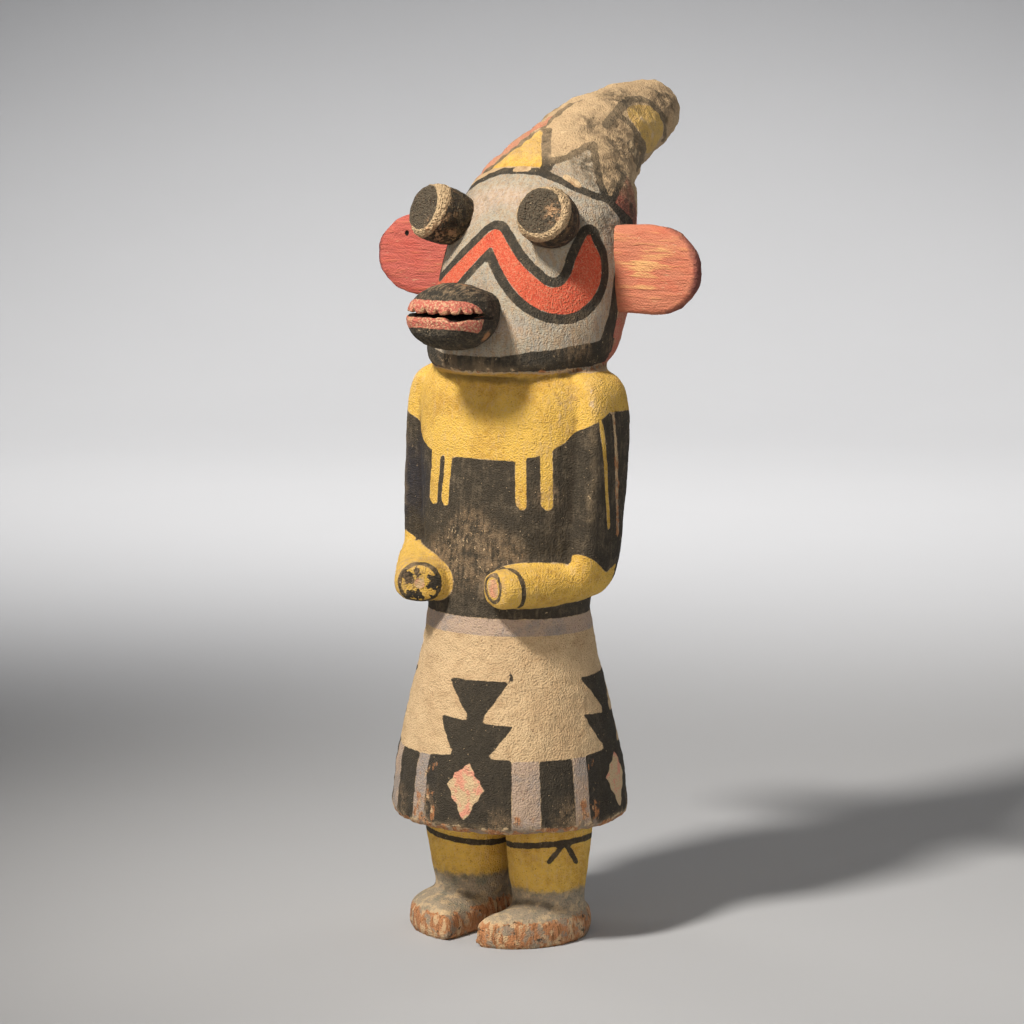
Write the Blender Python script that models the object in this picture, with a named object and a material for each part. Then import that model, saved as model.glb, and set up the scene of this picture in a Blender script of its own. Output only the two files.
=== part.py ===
"""A carved root doll in a long-snouted helmet mask.

The figure is one carving: mask with its swept-back hood, body, arms, kilt, legs and feet.
Two peg eyes, two paddle ears and the snout are carved separately and let into the mask.
The doll faces -Y, +X is its left hand and +Z is up.
"""

import math

import bmesh
import bpy
import numpy as np
from mathutils import Vector

MM = 0.001
SIDES = {1: "left", -1: "right"}

# Fits of the five pieces that are let into the mask
SEAT_GAP = 0.3 * MM
SEAT_DEPTH = 4.0 * MM
EAR_SEAT_DEPTH = 5.5 * MM

# Facets around each carved form
HEAD_FACETS = 40
BODY_FACETS = 36
LIMB_FACETS = 20
PIECE_FACETS = 24
FOOT_FACETS = 30

# How square each section is: 2 is an oval, and higher values near a rectangle
OVAL = 2.0
ARM_SQUARENESS = 3.0
FOREARM_SQUARENESS = 2.4
LEG_SQUARENESS = 2.1
EAR_SQUARENESS = 3.2
SNOUT_SQUARENESS = 2.3

# Mask and hood, from the rim to the crown of the hood
RIM_HEIGHT = 186.6 * MM
HEAD_RISE = 90.5 * MM
HEAD_WIDTH = 63.2 * MM
HEAD_DEPTH = 61.2 * MM
RIM_CHAMFER = 2.2 * MM
RIM_INSET = 2.8 * MM
HOOD_TIP_REACH = 9.5 * MM
# Places of the rings that round off the tip, as shares of its reach
HOOD_TIP_STEPS = (0.30, 0.60, 0.84, 0.97)
# Each row: rise and setback as shares of HEAD_RISE, backward tilt in degrees,
# then width and depth as shares of HEAD_WIDTH and HEAD_DEPTH
HEAD_STATIONS = (
    (0.000, 0.077, -3.5, 0.940, 0.960),
    (0.040, 0.086, -3.0, 0.985, 1.005),
    (0.100, 0.104, -1.0, 1.000, 1.015),
    (0.200, 0.145, 5.0, 1.010, 1.000),
    (0.344, 0.193, 12.0, 1.005, 0.915),
    (0.480, 0.240, 20.0, 0.988, 0.790),
    (0.585, 0.312, 32.0, 0.890, 0.680),
    (0.676, 0.431, 48.0, 0.675, 0.588),
    (0.757, 0.565, 60.0, 0.554, 0.523),
    (0.813, 0.722, 70.0, 0.459, 0.437),
    (0.856, 0.900, 76.0, 0.366, 0.352),
)
HEAD_RINGS = 23

# Trunk, from inside the kilt to inside the mask
TRUNK_WIDTH = 64.0 * MM
TRUNK_DEPTH = 48.0 * MM
TRUNK_FOOT = 98.0 * MM
# Each row: height as a share from TRUNK_FOOT to the rim, setback in shares of the
# depth, then width and depth shares and how square the section is
TRUNK_STATIONS = (
    (0.000, 0.000, 0.700, 0.800, 2.0),
    (0.050, 0.000, 0.780, 0.890, 2.0),
    (0.120, 0.000, 0.862, 1.000, 2.0),
    (0.250, 0.021, 0.900, 0.967, 2.1),
    (0.420, 0.042, 0.950, 0.938, 2.4),
    (0.591, 0.063, 0.978, 0.917, 2.5),
    (0.739, 0.083, 1.000, 0.896, 2.6),
    (0.852, 0.104, 1.000, 0.875, 2.8),
    (0.920, 0.125, 0.985, 0.854, 2.8),
    (0.958, 0.140, 0.930, 0.833, 2.5),
    (0.980, 0.155, 0.875, 0.820, 2.2),
    (1.040, 0.167, 0.855, 0.812, 2.0),
)
TRUNK_RINGS = 15

# Kilt
KILT_TOP = 108.0 * MM
HEM_HEIGHT = 38.6 * MM
KILT_WAIST_WIDTH = 54.2 * MM
KILT_WAIST_DEPTH = 47.0 * MM
HEM_WIDTH = 78.0 * MM
HEM_DEPTH = 75.6 * MM
HEM_ROUND = 2.2 * MM
KILT_SETBACK = 0.6 * MM
# Each row: height as a share from hem to waist, and how far it is flared to the hem's size
KILT_STATIONS = (
    (0.00, 1.000),
    (0.22, 0.885),
    (0.52, 0.535),
    (0.84, 0.135),
    (1.00, 0.000),
)
KILT_RINGS = 9

# Upper arms: each hangs beside the trunk, slanting forward to the elbow
ARM_OUT = 33.4 * MM
ARM_WIDTH = 10.6 * MM
ARM_DEPTH = 20.4 * MM
ELBOW_HEIGHT = 114.0 * MM
SHOULDER_HEIGHT = 184.0 * MM
# Each row: height as a share from elbow to shoulder, then the centre's offset and
# setback and the size as shares of ARM_OUT, ARM_DEPTH, ARM_WIDTH and ARM_DEPTH
ARM_STATIONS = (
    (0.000, 0.900, 0.040, 0.500, 0.500),
    (0.030, 0.930, 0.040, 0.800, 0.750),
    (0.100, 0.975, 0.040, 0.980, 0.930),
    (0.330, 1.000, 0.100, 1.030, 1.040),
    (0.600, 1.000, 0.185, 1.050, 1.100),
    (0.800, 0.985, 0.230, 1.080, 1.120),
    (0.920, 0.940, 0.250, 1.120, 1.080),
    (0.975, 0.870, 0.270, 1.060, 0.980),
    (1.000, 0.800, 0.290, 0.760, 0.760),
)
ARM_RINGS = 12

# The doll was carved by eye, so its two sides differ. Where they do, the length given is the
# left side's, and its RIGHT_ value is the right side's length as a share of it

# Forearms: from the elbow, forward and inward over the belly to the hands
ELBOW_OUT = 28.6 * MM
RIGHT_ELBOW_OUT = 1.105
ELBOW_SETBACK = 3.5 * MM
RIGHT_ELBOW_SETBACK = 0.143
ELBOW_RISE = 4.6 * MM
RIGHT_ELBOW_RISE = 1.391
HAND_OUT = 14.6 * MM
RIGHT_HAND_OUT = 0.932
HAND_REACH = 29.2 * MM
RIGHT_HAND_REACH = 1.034
HAND_RISE = 2.6 * MM
RIGHT_HAND_RISE = 0.923
FOREARM_WIDTH = 17.8 * MM
RIGHT_FOREARM_WIDTH = 1.101
FOREARM_HEIGHT = 13.6 * MM
RIGHT_FOREARM_HEIGHT = 1.074
# Each row: place along the forearm, then width and height shares
FOREARM_STATIONS = (
    (-0.150, 0.300, 0.400),
    (-0.110, 0.700, 0.760),
    (0.000, 0.980, 0.980),
    (0.200, 1.040, 1.020),
    (0.500, 0.970, 0.980),
    (0.800, 0.900, 0.930),
    (0.965, 0.870, 0.910),
    (1.000, 0.800, 0.830),
)
FOREARM_RINGS = 10

# Legs
LEG_OUT = 14.9 * MM
KNEE_OUT = 14.9 * MM
RIGHT_KNEE_OUT = 1.128
KNEE_WIDTH = 28.4 * MM
RIGHT_KNEE_WIDTH = 1.070
ANKLE_WIDTH = 21.6 * MM
ANKLE_HEIGHT = 10.0 * MM
LEG_SETBACK = 1.0 * MM
LEG_OVERLAP = 4.0 * MM
LEG_RINGS = 6

# Feet: straight inner sides that part towards the toes, and bowed outer sides
TOE_GAP = 10.4 * MM
HEEL_GAP = 2.4 * MM
FOOT_TOE = 27.4 * MM
FOOT_HEEL = 22.6 * MM
FOOT_OUT = 29.2 * MM
RIGHT_FOOT_OUT = 1.144
FOOT_HEIGHT = 11.6 * MM
# Each row: height as a share of FOOT_HEIGHT and how far in the outline is, as a share of FOOT_OUT
FOOT_STATIONS = (
    (0.000, 0.020),
    (0.086, 0.000),
    (0.655, 0.010),
    (0.776, 0.060),
    (0.914, 0.165),
    (1.000, 0.290),
)
FOOT_BOW = 0.95

# Peg eyes
EYE_LENGTH = 14.6 * MM
EYE_DIAMETER = 18.8 * MM
EYE_SPLAY = 17.0
EYE_RISE = 15.0
EYE_LEVEL = 0.425
EYE_SPREAD = 18.2 * MM
RIGHT_EYE_SPREAD = 1.099
# Each row: place along the peg and diameter share
EYE_STATIONS = (
    (0.00, 0.720),
    (0.25, 0.890),
    (0.52, 1.000),
    (0.78, 0.980),
    (0.93, 0.890),
    (1.00, 0.800),
)

EYE_RINGS = 9

# Paddle ears
EAR_REACH = 30.2 * MM
RIGHT_EAR_REACH = 1.073
EAR_HEIGHT = 28.8 * MM
RIGHT_EAR_HEIGHT = 0.958
EAR_THICKNESS = 5.6 * MM
EAR_SETBACK = 16.5 * MM
EAR_RISE = 29.7 * MM
RIGHT_EAR_RISE = 1.051
# Each row: place along the paddle, then height and thickness shares
EAR_STATIONS = (
    (0.000, 0.940, 1.000),
    (0.250, 0.980, 1.000),
    (0.500, 1.000, 1.000),
    (0.680, 0.940, 1.000),
    (0.800, 0.820, 0.980),
    (0.900, 0.610, 0.880),
    (0.960, 0.400, 0.720),
    (0.990, 0.200, 0.480),
)

# Snout: blunt jaws parted by a slit, which runs back at the corners as a crack
SNOUT_REACH = 23.2 * MM
SNOUT_WIDTH = 27.6 * MM
SNOUT_HEIGHT = 21.2 * MM
SNOUT_RISE = 15.2 * MM
SNOUT_DROOP = 3.0
# Each row: place from the mask's surface to the blunt end, then width and height shares
SNOUT_STATIONS = (
    (-0.25, 0.580, 0.600),
    (0.00, 0.700, 0.720),
    (0.20, 0.870, 0.890),
    (0.45, 0.990, 1.000),
    (0.68, 0.970, 0.930),
    (0.84, 0.870, 0.780),
    (0.94, 0.740, 0.620),
    (1.00, 0.560, 0.440),
)
SNOUT_RINGS = 13
MOUTH_OPENING = 2.0 * MM
MOUTH_CRACK = 0.5 * MM
MOUTH_RISE = 1.3 * MM
MOUTH_DEPTH = 12.0 * MM
CUT_OVERSHOOT = 1.0 * MM
TOOTH_PITCH = 4.5 * MM
TOOTH_NOTCH = 2.8 * MM
TOOTH_HEIGHT = 2.4 * MM
TOOTH_CUT = 3.5 * MM
TOOTH_NOTCHES = 8


def through(places, values, at):
    """The values at `at` of a smooth curve through the stations, with no overshoot."""
    places, values, at = (np.asarray(x, float) for x in (places, values, at))
    run = np.diff(places)
    slope = np.diff(values) / run
    onward = slope[:-1] * slope[1:] > 0
    before, after = (np.where(onward, side, 1.0) for side in (slope[:-1], slope[1:]))
    lead, trail = 2 * run[1:] + run[:-1], run[1:] + 2 * run[:-1]
    blend = (lead + trail) / (lead / before + trail / after)
    tangent = np.concatenate([slope[:1], np.where(onward, blend, 0), slope[-1:]])
    i = np.clip(np.searchsorted(places, at, side="right") - 1, 0, len(run) - 1)
    t = (at - places[i]) / run[i]
    rise = 3 * t**2 - 2 * t**3
    bend = tangent[i] * (t**3 - 2 * t**2 + t) + tangent[i + 1] * (t**3 - t**2)
    return values[i] + (values[i + 1] - values[i]) * rise + bend * run[i]


def stations(rows, at):
    """Every further column of a station table, read at the place `at` in its first column."""
    columns = np.asarray(rows, float).T
    return [through(columns[0], column, at) for column in columns[1:]]


def by_eye(side, left, right_share):
    """A length on one side of the doll."""
    return left if side > 0 else left * right_share


def spaced(rows, count):
    """Places for `count` rings, as many between one pair of stations as the next."""
    return np.interp(np.linspace(0, len(rows) - 1, count), range(len(rows)), [row[0] for row in rows])


def outline(half_width, half_depth, squareness, facets):
    """A closed rounded outline, from an oval at squareness 2 towards a rectangle."""
    angle = np.arange(facets) * 2 * math.pi / facets
    across, along = np.cos(angle), np.sin(angle)
    power = 2 / squareness
    return np.stack(
        [
            half_width * np.sign(across) * np.abs(across) ** power,
            half_depth * np.sign(along) * np.abs(along) ** power,
        ],
        axis=1,
    )


def place(points, centre, across, along):
    """Flat outline points laid in space, with their two axes along `across` and `along`."""
    return [Vector(centre) + Vector(across) * u + Vector(along) * v for u, v in points]


def loft(rings):
    """A closed mesh: the first ring is capped, then its cap is extruded from ring to ring."""
    shape = bmesh.new()
    order = shape.verts.layers.int.new("order")
    start = bmesh.ops.create_circle(shape, segments=len(rings[0]), radius=1.0)["verts"]
    for index, vert in enumerate(start):
        vert[order] = index
        vert.co = rings[0][index]
    floor = cap = shape.faces.new(start)
    for ring in rings[1:]:
        made = bmesh.ops.extrude_face_region(shape, geom=[cap])["geom"]
        if cap is not floor:
            bmesh.ops.delete(shape, geom=[cap], context="FACES_ONLY")
        cap = next(item for item in made if isinstance(item, bmesh.types.BMFace))
        for vert in cap.verts:
            vert.co = ring[vert[order]]
    bmesh.ops.recalc_face_normals(shape, faces=shape.faces)
    return shape


def finish(name, shape, material, helper=False):
    """The bmesh as a smooth-shaded object; a helper is hidden from renders."""
    mesh = bpy.data.meshes.new(name)
    shape.to_mesh(mesh)
    shape.free()
    mesh.shade_smooth()
    mesh.set_sharp_from_angle(angle=math.radians(40))
    obj = bpy.data.objects.new(name, mesh)
    bpy.context.scene.collection.objects.link(obj)
    if helper:
        obj.hide_render = True
        obj.display_type = "WIRE"
    else:
        obj.data.materials.append(material)
    return obj


def combine(obj, operation, title, shapes):
    """Joins the shapes to the object, or cuts them from it, as one Boolean."""
    group = bpy.data.collections.new(title)
    bpy.context.scene.collection.children.link(group)
    for name, shape in shapes.items():
        helper = finish(name, shape, None, helper=True)
        bpy.context.scene.collection.objects.unlink(helper)
        group.objects.link(helper)
    change = obj.modifiers.new(title, "BOOLEAN")
    change.operation = operation
    change.operand_type = "COLLECTION"
    change.collection = group


def paint(name, colour, roughness):
    """A matt earth paint or bare wood."""
    material = bpy.data.materials.new(name)
    material.use_nodes = True
    shader = material.node_tree.nodes["Principled BSDF"]
    shader.inputs["Base Color"].default_value = (*colour, 1.0)
    shader.inputs["Roughness"].default_value = roughness
    shader.inputs["Metallic"].default_value = 0.0
    material.diffuse_color = (*colour, 1.0)
    return material


def head_section(at):
    """Centre, tilt, half width and half depth of the mask at a rise share `at`."""
    setback, tilt, width, depth = stations(HEAD_STATIONS, at)
    centre = (0.0, setback * HEAD_RISE, RIM_HEIGHT + at * HEAD_RISE)
    return Vector(centre), math.radians(tilt), width * HEAD_WIDTH / 2, depth * HEAD_DEPTH / 2


def head_ring(centre, tilt, half_width, half_depth):
    back = Vector((0, math.cos(tilt), -math.sin(tilt)))
    return place(outline(half_width, half_depth, OVAL, HEAD_FACETS), centre, (1, 0, 0), back)


def head_form():
    """Rim chamfer, mask and hood, closed by a rounded tip."""
    rings = []
    centre, tilt, half_width, half_depth = head_section(0.0)
    low = centre - Vector((0, 0, RIM_CHAMFER))
    rings.append(head_ring(low, tilt, half_width - RIM_INSET, half_depth - RIM_INSET))
    for at in spaced(HEAD_STATIONS, HEAD_RINGS):
        centre, tilt, half_width, half_depth = head_section(at)
        rings.append(head_ring(centre, tilt, half_width, half_depth))
    onward = Vector((0, math.sin(tilt), math.cos(tilt)))
    for step in HOOD_TIP_STEPS:
        shrink = math.sqrt(1 - step**2)
        beyond = centre + onward * HOOD_TIP_REACH * step
        rings.append(head_ring(beyond, tilt, half_width * shrink, half_depth * shrink))
    return loft(rings)


def level_ring(centre, width, depth, squareness, facets):
    return place(outline(width / 2, depth / 2, squareness, facets), centre, (1, 0, 0), (0, 1, 0))


def trunk_form():
    rings = []
    rise = RIM_HEIGHT - TRUNK_FOOT
    for at in spaced(TRUNK_STATIONS, TRUNK_RINGS):
        setback, width, depth, squareness = stations(TRUNK_STATIONS, at)
        centre = (0, setback * TRUNK_DEPTH, TRUNK_FOOT + at * rise)
        width, depth = width * TRUNK_WIDTH, depth * TRUNK_DEPTH
        rings.append(level_ring(centre, width, depth, squareness, BODY_FACETS))
    return loft(rings)


def kilt_form():
    """A flared kilt: the flare eases off towards the hem."""
    rings = []
    centre = (0, KILT_SETBACK, HEM_HEIGHT)
    width, depth = HEM_WIDTH - 2 * HEM_ROUND, HEM_DEPTH - 2 * HEM_ROUND
    rings.append(level_ring(centre, width, depth, OVAL, BODY_FACETS))
    for at in np.linspace(0, 1, KILT_RINGS):
        (flare,) = stations(KILT_STATIONS, at)
        height = HEM_HEIGHT + HEM_ROUND + at * (KILT_TOP - HEM_HEIGHT - HEM_ROUND)
        centre = (0, KILT_SETBACK * (1 - at), height)
        width = KILT_WAIST_WIDTH + (HEM_WIDTH - KILT_WAIST_WIDTH) * flare
        depth = KILT_WAIST_DEPTH + (HEM_DEPTH - KILT_WAIST_DEPTH) * flare
        rings.append(level_ring(centre, width, depth, OVAL, BODY_FACETS))
    return loft(rings)


def upper_arm_form(side):
    rings = []
    for at in spaced(ARM_STATIONS, ARM_RINGS):
        out, setback, width, depth = stations(ARM_STATIONS, at)
        height = ELBOW_HEIGHT + at * (SHOULDER_HEIGHT - ELBOW_HEIGHT)
        centre = (side * out * ARM_OUT, setback * ARM_DEPTH, height)
        width, depth = width * ARM_WIDTH, depth * ARM_DEPTH
        rings.append(level_ring(centre, width, depth, ARM_SQUARENESS, LIMB_FACETS))
    return loft(rings)


def forearm_form(side):
    elbow = Vector(
        (
            side * by_eye(side, ELBOW_OUT, RIGHT_ELBOW_OUT),
            by_eye(side, ELBOW_SETBACK, RIGHT_ELBOW_SETBACK),
            ELBOW_HEIGHT + by_eye(side, ELBOW_RISE, RIGHT_ELBOW_RISE),
        )
    )
    hand = Vector(
        (
            side * by_eye(side, HAND_OUT, RIGHT_HAND_OUT),
            -by_eye(side, HAND_REACH, RIGHT_HAND_REACH),
            ELBOW_HEIGHT + by_eye(side, HAND_RISE, RIGHT_HAND_RISE),
        )
    )
    whole_width = by_eye(side, FOREARM_WIDTH, RIGHT_FOREARM_WIDTH)
    whole_height = by_eye(side, FOREARM_HEIGHT, RIGHT_FOREARM_HEIGHT)
    along = hand - elbow
    across = along.cross((0, 0, 1)).normalized()
    up = across.cross(along).normalized()
    rings = []
    for at in spaced(FOREARM_STATIONS, FOREARM_RINGS):
        width, height = stations(FOREARM_STATIONS, at)
        half_width, half_height = width * whole_width / 2, height * whole_height / 2
        flat = outline(half_width, half_height, FOREARM_SQUARENESS, LIMB_FACETS)
        rings.append(place(flat, elbow + along * at, across, up))
    return loft(rings)


def leg_form(side):
    rings = []
    foot, top = ANKLE_HEIGHT - LEG_OVERLAP, HEM_HEIGHT + LEG_OVERLAP
    knee_width = by_eye(side, KNEE_WIDTH, RIGHT_KNEE_WIDTH)
    knee_out = by_eye(side, KNEE_OUT, RIGHT_KNEE_OUT)
    for at in np.linspace(0, 1, LEG_RINGS):
        width = ANKLE_WIDTH + (knee_width - ANKLE_WIDTH) * math.sin(at * math.pi / 2)
        out = LEG_OUT + (knee_out - LEG_OUT) * at
        centre = (side * out, LEG_SETBACK, foot + at * (top - foot))
        rings.append(level_ring(centre, width, width, LEG_SQUARENESS, LIMB_FACETS))
    return loft(rings)


def foot_outline(side, out, inset):
    """Points round one foot: the bowed outer side, then back along the slanting inner side."""
    middle = (FOOT_HEEL - FOOT_TOE) / 2
    half = (FOOT_HEEL + FOOT_TOE) / 2 - inset

    def inner(share):
        return (HEEL_GAP + (TOE_GAP - HEEL_GAP) * (1 - share) / 2) / 2 + inset

    points = []
    for angle in np.linspace(-math.pi / 2, math.pi / 2, FOOT_FACETS - FOOT_FACETS // 5):
        share = math.sin(angle)
        reach = out - inset - inner(share)
        points.append((inner(share) + reach * max(0.0, math.cos(angle)) ** FOOT_BOW, share))
    for share in np.linspace(1, -1, FOOT_FACETS // 5 + 2)[1:-1]:
        points.append((inner(share), share))
    return [(side * x, middle + half * share) for x, share in points]


def foot_form(side):
    out = by_eye(side, FOOT_OUT, RIGHT_FOOT_OUT)
    rings = []
    for at, inset in FOOT_STATIONS:
        flat = foot_outline(side, out, inset * out)
        rings.append([Vector((x, y, at * FOOT_HEIGHT)) for x, y in flat])
    return loft(rings)


def eye_form(side, grow=0.0):
    """A peg eye on its axis, which leaves the mask outwards, forwards and a little up."""
    centre, tilt, half_width, half_depth = head_section(EYE_LEVEL)
    spread = by_eye(side, EYE_SPREAD, RIGHT_EYE_SPREAD)
    forward = half_depth * math.sqrt(1 - (spread / half_width) ** 2)
    seat = centre + Vector((side * spread, -forward * math.cos(tilt), forward * math.sin(tilt)))
    splay, rise = math.radians(EYE_SPLAY), math.radians(EYE_RISE)
    level = math.cos(rise)
    along = Vector((side * math.sin(splay) * level, -math.cos(splay) * level, math.sin(rise)))
    across = along.cross((0, 0, 1)).normalized()
    up = across.cross(along)
    rings = []
    whole = EYE_LENGTH + SEAT_DEPTH + 2 * grow
    for at in spaced(EYE_STATIONS, EYE_RINGS):
        (share,) = stations(EYE_STATIONS, at)
        radius = share * EYE_DIAMETER / 2 + grow
        centre = seat + along * (at * whole - SEAT_DEPTH - grow)
        rings.append(place(outline(radius, radius, OVAL, PIECE_FACETS), centre, across, up))
    return loft(rings)


def ear_form(side, grow=0.0):
    """A flat paddle with a rounded end, standing out from the side of the mask."""
    inner = HEAD_WIDTH / 2 - EAR_SEAT_DEPTH - grow
    outer = HEAD_WIDTH / 2 + by_eye(side, EAR_REACH, RIGHT_EAR_REACH) + grow
    whole_height = by_eye(side, EAR_HEIGHT, RIGHT_EAR_HEIGHT)
    level = RIM_HEIGHT + by_eye(side, EAR_RISE, RIGHT_EAR_RISE)
    rings = []
    for at, height, thickness in EAR_STATIONS:
        half_thickness = thickness * EAR_THICKNESS / 2 + grow
        half_height = height * whole_height / 2 + grow
        flat = outline(half_thickness, half_height, EAR_SQUARENESS, PIECE_FACETS)
        centre = (side * (inner + at * (outer - inner)), EAR_SETBACK, level)
        rings.append(place(flat, centre, (0, 1, 0), (0, 0, 1)))
    return loft(rings)


def snout_axes():
    """The middle of the snout's blunt end, and its lengthwise, crosswise and upward axes."""
    droop = math.radians(SNOUT_DROOP)
    along = Vector((0, -math.cos(droop), -math.sin(droop)))
    across = Vector((-1, 0, 0))
    centre, tilt, _, half_depth = head_section(SNOUT_RISE / HEAD_RISE)
    surface = centre.y - half_depth * math.cos(tilt)
    front = Vector((0, surface - SNOUT_REACH, RIM_HEIGHT + SNOUT_RISE))
    return front, along, across, across.cross(along)


def snout_form(grow=0.0):
    front, along, across, up = snout_axes()
    rings = []
    for at in spaced(SNOUT_STATIONS, SNOUT_RINGS):
        width, height = stations(SNOUT_STATIONS, at)
        half_width, half_height = width * SNOUT_WIDTH / 2 + grow, height * SNOUT_HEIGHT / 2 + grow
        flat = outline(half_width, half_height, SNOUT_SQUARENESS, PIECE_FACETS)
        rings.append(place(flat, front - along * ((1 - at) * SNOUT_REACH + grow), across, up))
    return loft(rings)


def mouth_form():
    """The slit between the jaws, as a wedge that thins towards the crack at the corners."""
    front, along, across, up = snout_axes()
    rings = []
    taper = ((-CUT_OVERSHOOT, MOUTH_OPENING), (MOUTH_DEPTH / 2, MOUTH_OPENING), (MOUTH_DEPTH, MOUTH_CRACK))
    for back, opening in taper:
        flat = [(x * SNOUT_WIDTH, z * opening / 2) for x, z in ((1, -1), (1, 1), (-1, 1), (-1, -1))]
        rings.append(place(flat, front + up * MOUTH_RISE - along * back, across, up))
    return loft(rings)


def tooth_forms():
    """The notches between the upper teeth, evenly spaced round the edge of the lip."""
    front, along, across, up = snout_axes()
    at = np.linspace(0.5, 1, 40)
    half_width = stations(SNOUT_STATIONS, at)[0] * SNOUT_WIDTH / 2
    back = (1 - at) * SNOUT_REACH
    sideways = np.concatenate([-half_width, half_width[::-1]])
    backwards = np.concatenate([back, back[::-1]])
    travel = np.concatenate([[0], np.cumsum(np.hypot(np.diff(sideways), np.diff(backwards)))])
    for number in range(TOOTH_NOTCHES):
        station = travel[-1] / 2 + (number - (TOOTH_NOTCHES - 1) / 2) * TOOTH_PITCH
        here, there = (
            across * np.interp(s, travel, sideways) - along * np.interp(s, travel, backwards)
            for s in (station, station + 0.5 * MM)
        )
        edge = (there - here).normalized()
        inward = up.cross(edge)
        if inward.dot(along) > 0:
            inward = -inward
        flat = [(-TOOTH_NOTCH / 2, 0), (TOOTH_NOTCH / 2, 0), (0, TOOTH_HEIGHT)]
        lip = front + here + up * (MOUTH_RISE + MOUTH_OPENING * 0.3)
        ends = (-CUT_OVERSHOOT, TOOTH_CUT)
        yield loft([place(flat, lip + inward * depth, edge, up) for depth in ends])


def centre_on_origin(pieces):
    """Parents everything to one empty, moved so that the doll's outline is centred over the origin."""
    graph = bpy.context.evaluated_depsgraph_get()
    graph.update()
    corners = [Vector(corner) for piece in pieces for corner in piece.evaluated_get(graph).bound_box]
    middle = [(min(c[axis] for c in corners) + max(c[axis] for c in corners)) / 2 for axis in (0, 1)]
    doll = bpy.data.objects.new("doll", None)
    bpy.context.scene.collection.objects.link(doll)
    for obj in list(bpy.data.objects):
        if obj is not doll:
            obj.parent = doll
    doll.location = (-middle[0], -middle[1], 0.0)


def main():
    for obj in list(bpy.data.objects):
        bpy.data.objects.remove(obj)
    wood = paint("painted cottonwood", (0.42, 0.31, 0.16), 0.85)
    charcoal = paint("charcoal black paint", (0.045, 0.04, 0.03), 0.85)
    rose = paint("rose red paint", (0.50, 0.16, 0.12), 0.8)

    forms = {"trunk form": trunk_form(), "kilt form": kilt_form()}
    seats = {"seat snout": snout_form(SEAT_GAP)}
    for side, word in SIDES.items():
        forms[f"upper arm form {word}"] = upper_arm_form(side)
        forms[f"forearm form {word}"] = forearm_form(side)
        forms[f"leg form {word}"] = leg_form(side)
        forms[f"foot form {word}"] = foot_form(side)
        seats[f"seat eye {word}"] = eye_form(side, SEAT_GAP)
        seats[f"seat ear {word}"] = ear_form(side, SEAT_GAP)
    figure = finish("figure", head_form(), wood)
    combine(figure, "UNION", "carved forms", forms)
    combine(figure, "DIFFERENCE", "seats in the mask", seats)
    snout = finish("snout", snout_form(), charcoal)
    cuts = {f"tooth notch {number}": shape for number, shape in enumerate(tooth_forms(), 1)}
    cuts["mouth slit"] = mouth_form()
    combine(snout, "DIFFERENCE", "cuts in the snout", cuts)
    pieces = [figure, snout]
    for side, word in SIDES.items():
        pieces.append(finish(f"eye_{word}", eye_form(side), charcoal))
        pieces.append(finish(f"ear_{word}", ear_form(side), rose))
    centre_on_origin(pieces)


main()
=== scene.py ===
"""The dressed view of a carved and painted root doll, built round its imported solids.

The figure, the snout, the peg eyes and the paddle ears are fine copies of the solids, with the
knife's waver, the clay ground's lumps and the chipped edges in their meshes. The paint is laid
out in millimetres on the carved surface, as signed distances from each painted edge.
"""

import math

import bmesh
import bpy
import numpy as np
from bpy.props import FloatProperty, FloatVectorProperty, PointerProperty
from mathutils import Matrix, Vector, noise


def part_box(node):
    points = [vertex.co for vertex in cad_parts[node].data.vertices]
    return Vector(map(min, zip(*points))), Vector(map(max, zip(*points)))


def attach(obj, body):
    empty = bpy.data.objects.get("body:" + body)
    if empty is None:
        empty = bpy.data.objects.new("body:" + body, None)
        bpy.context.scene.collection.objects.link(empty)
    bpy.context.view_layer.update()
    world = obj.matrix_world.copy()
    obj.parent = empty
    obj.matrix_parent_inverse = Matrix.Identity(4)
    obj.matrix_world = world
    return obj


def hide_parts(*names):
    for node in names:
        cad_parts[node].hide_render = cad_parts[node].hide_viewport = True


bl_info = {
    "name": "Painted root doll",
    "version": (1, 0, 0),
    "blender": (4, 5, 0),
    "location": "3D View > Sidebar > Doll",
    "description": "Dresses the packed doll in carved detail and clay paints",
    "category": "Object",
}

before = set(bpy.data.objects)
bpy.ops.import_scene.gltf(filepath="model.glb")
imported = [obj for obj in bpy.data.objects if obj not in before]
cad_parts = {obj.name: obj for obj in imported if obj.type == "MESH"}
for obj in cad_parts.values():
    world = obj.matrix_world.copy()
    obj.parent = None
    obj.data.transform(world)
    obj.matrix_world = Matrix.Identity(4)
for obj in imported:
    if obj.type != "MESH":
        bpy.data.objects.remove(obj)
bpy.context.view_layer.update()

MM = 0.001
NOWHERE = -9.0
CHALKY_SHEEN = 0.3

# The carver's frame: the doll's middle line and the line of its feet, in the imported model
EAR_SETBACK = 16.5
SNOUT_MIDDLE = (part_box("snout")[0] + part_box("snout")[1]) / 2
EAR_MIDDLE = (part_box("ear_left")[0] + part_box("ear_left")[1]) / 2
ORIGIN = Vector((SNOUT_MIDDLE.x, EAR_MIDDLE.y - EAR_SETBACK * MM, 0.0))

# Mask and hood, in mm: the same stations as the solid's
RIM_HEIGHT = 186.6
HEAD_RISE = 90.5
HEAD_WIDTH = 63.2
HEAD_DEPTH = 61.2
HOOD_TIP_REACH = 9.5
HOOD_CROWN = 0.856
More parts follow.
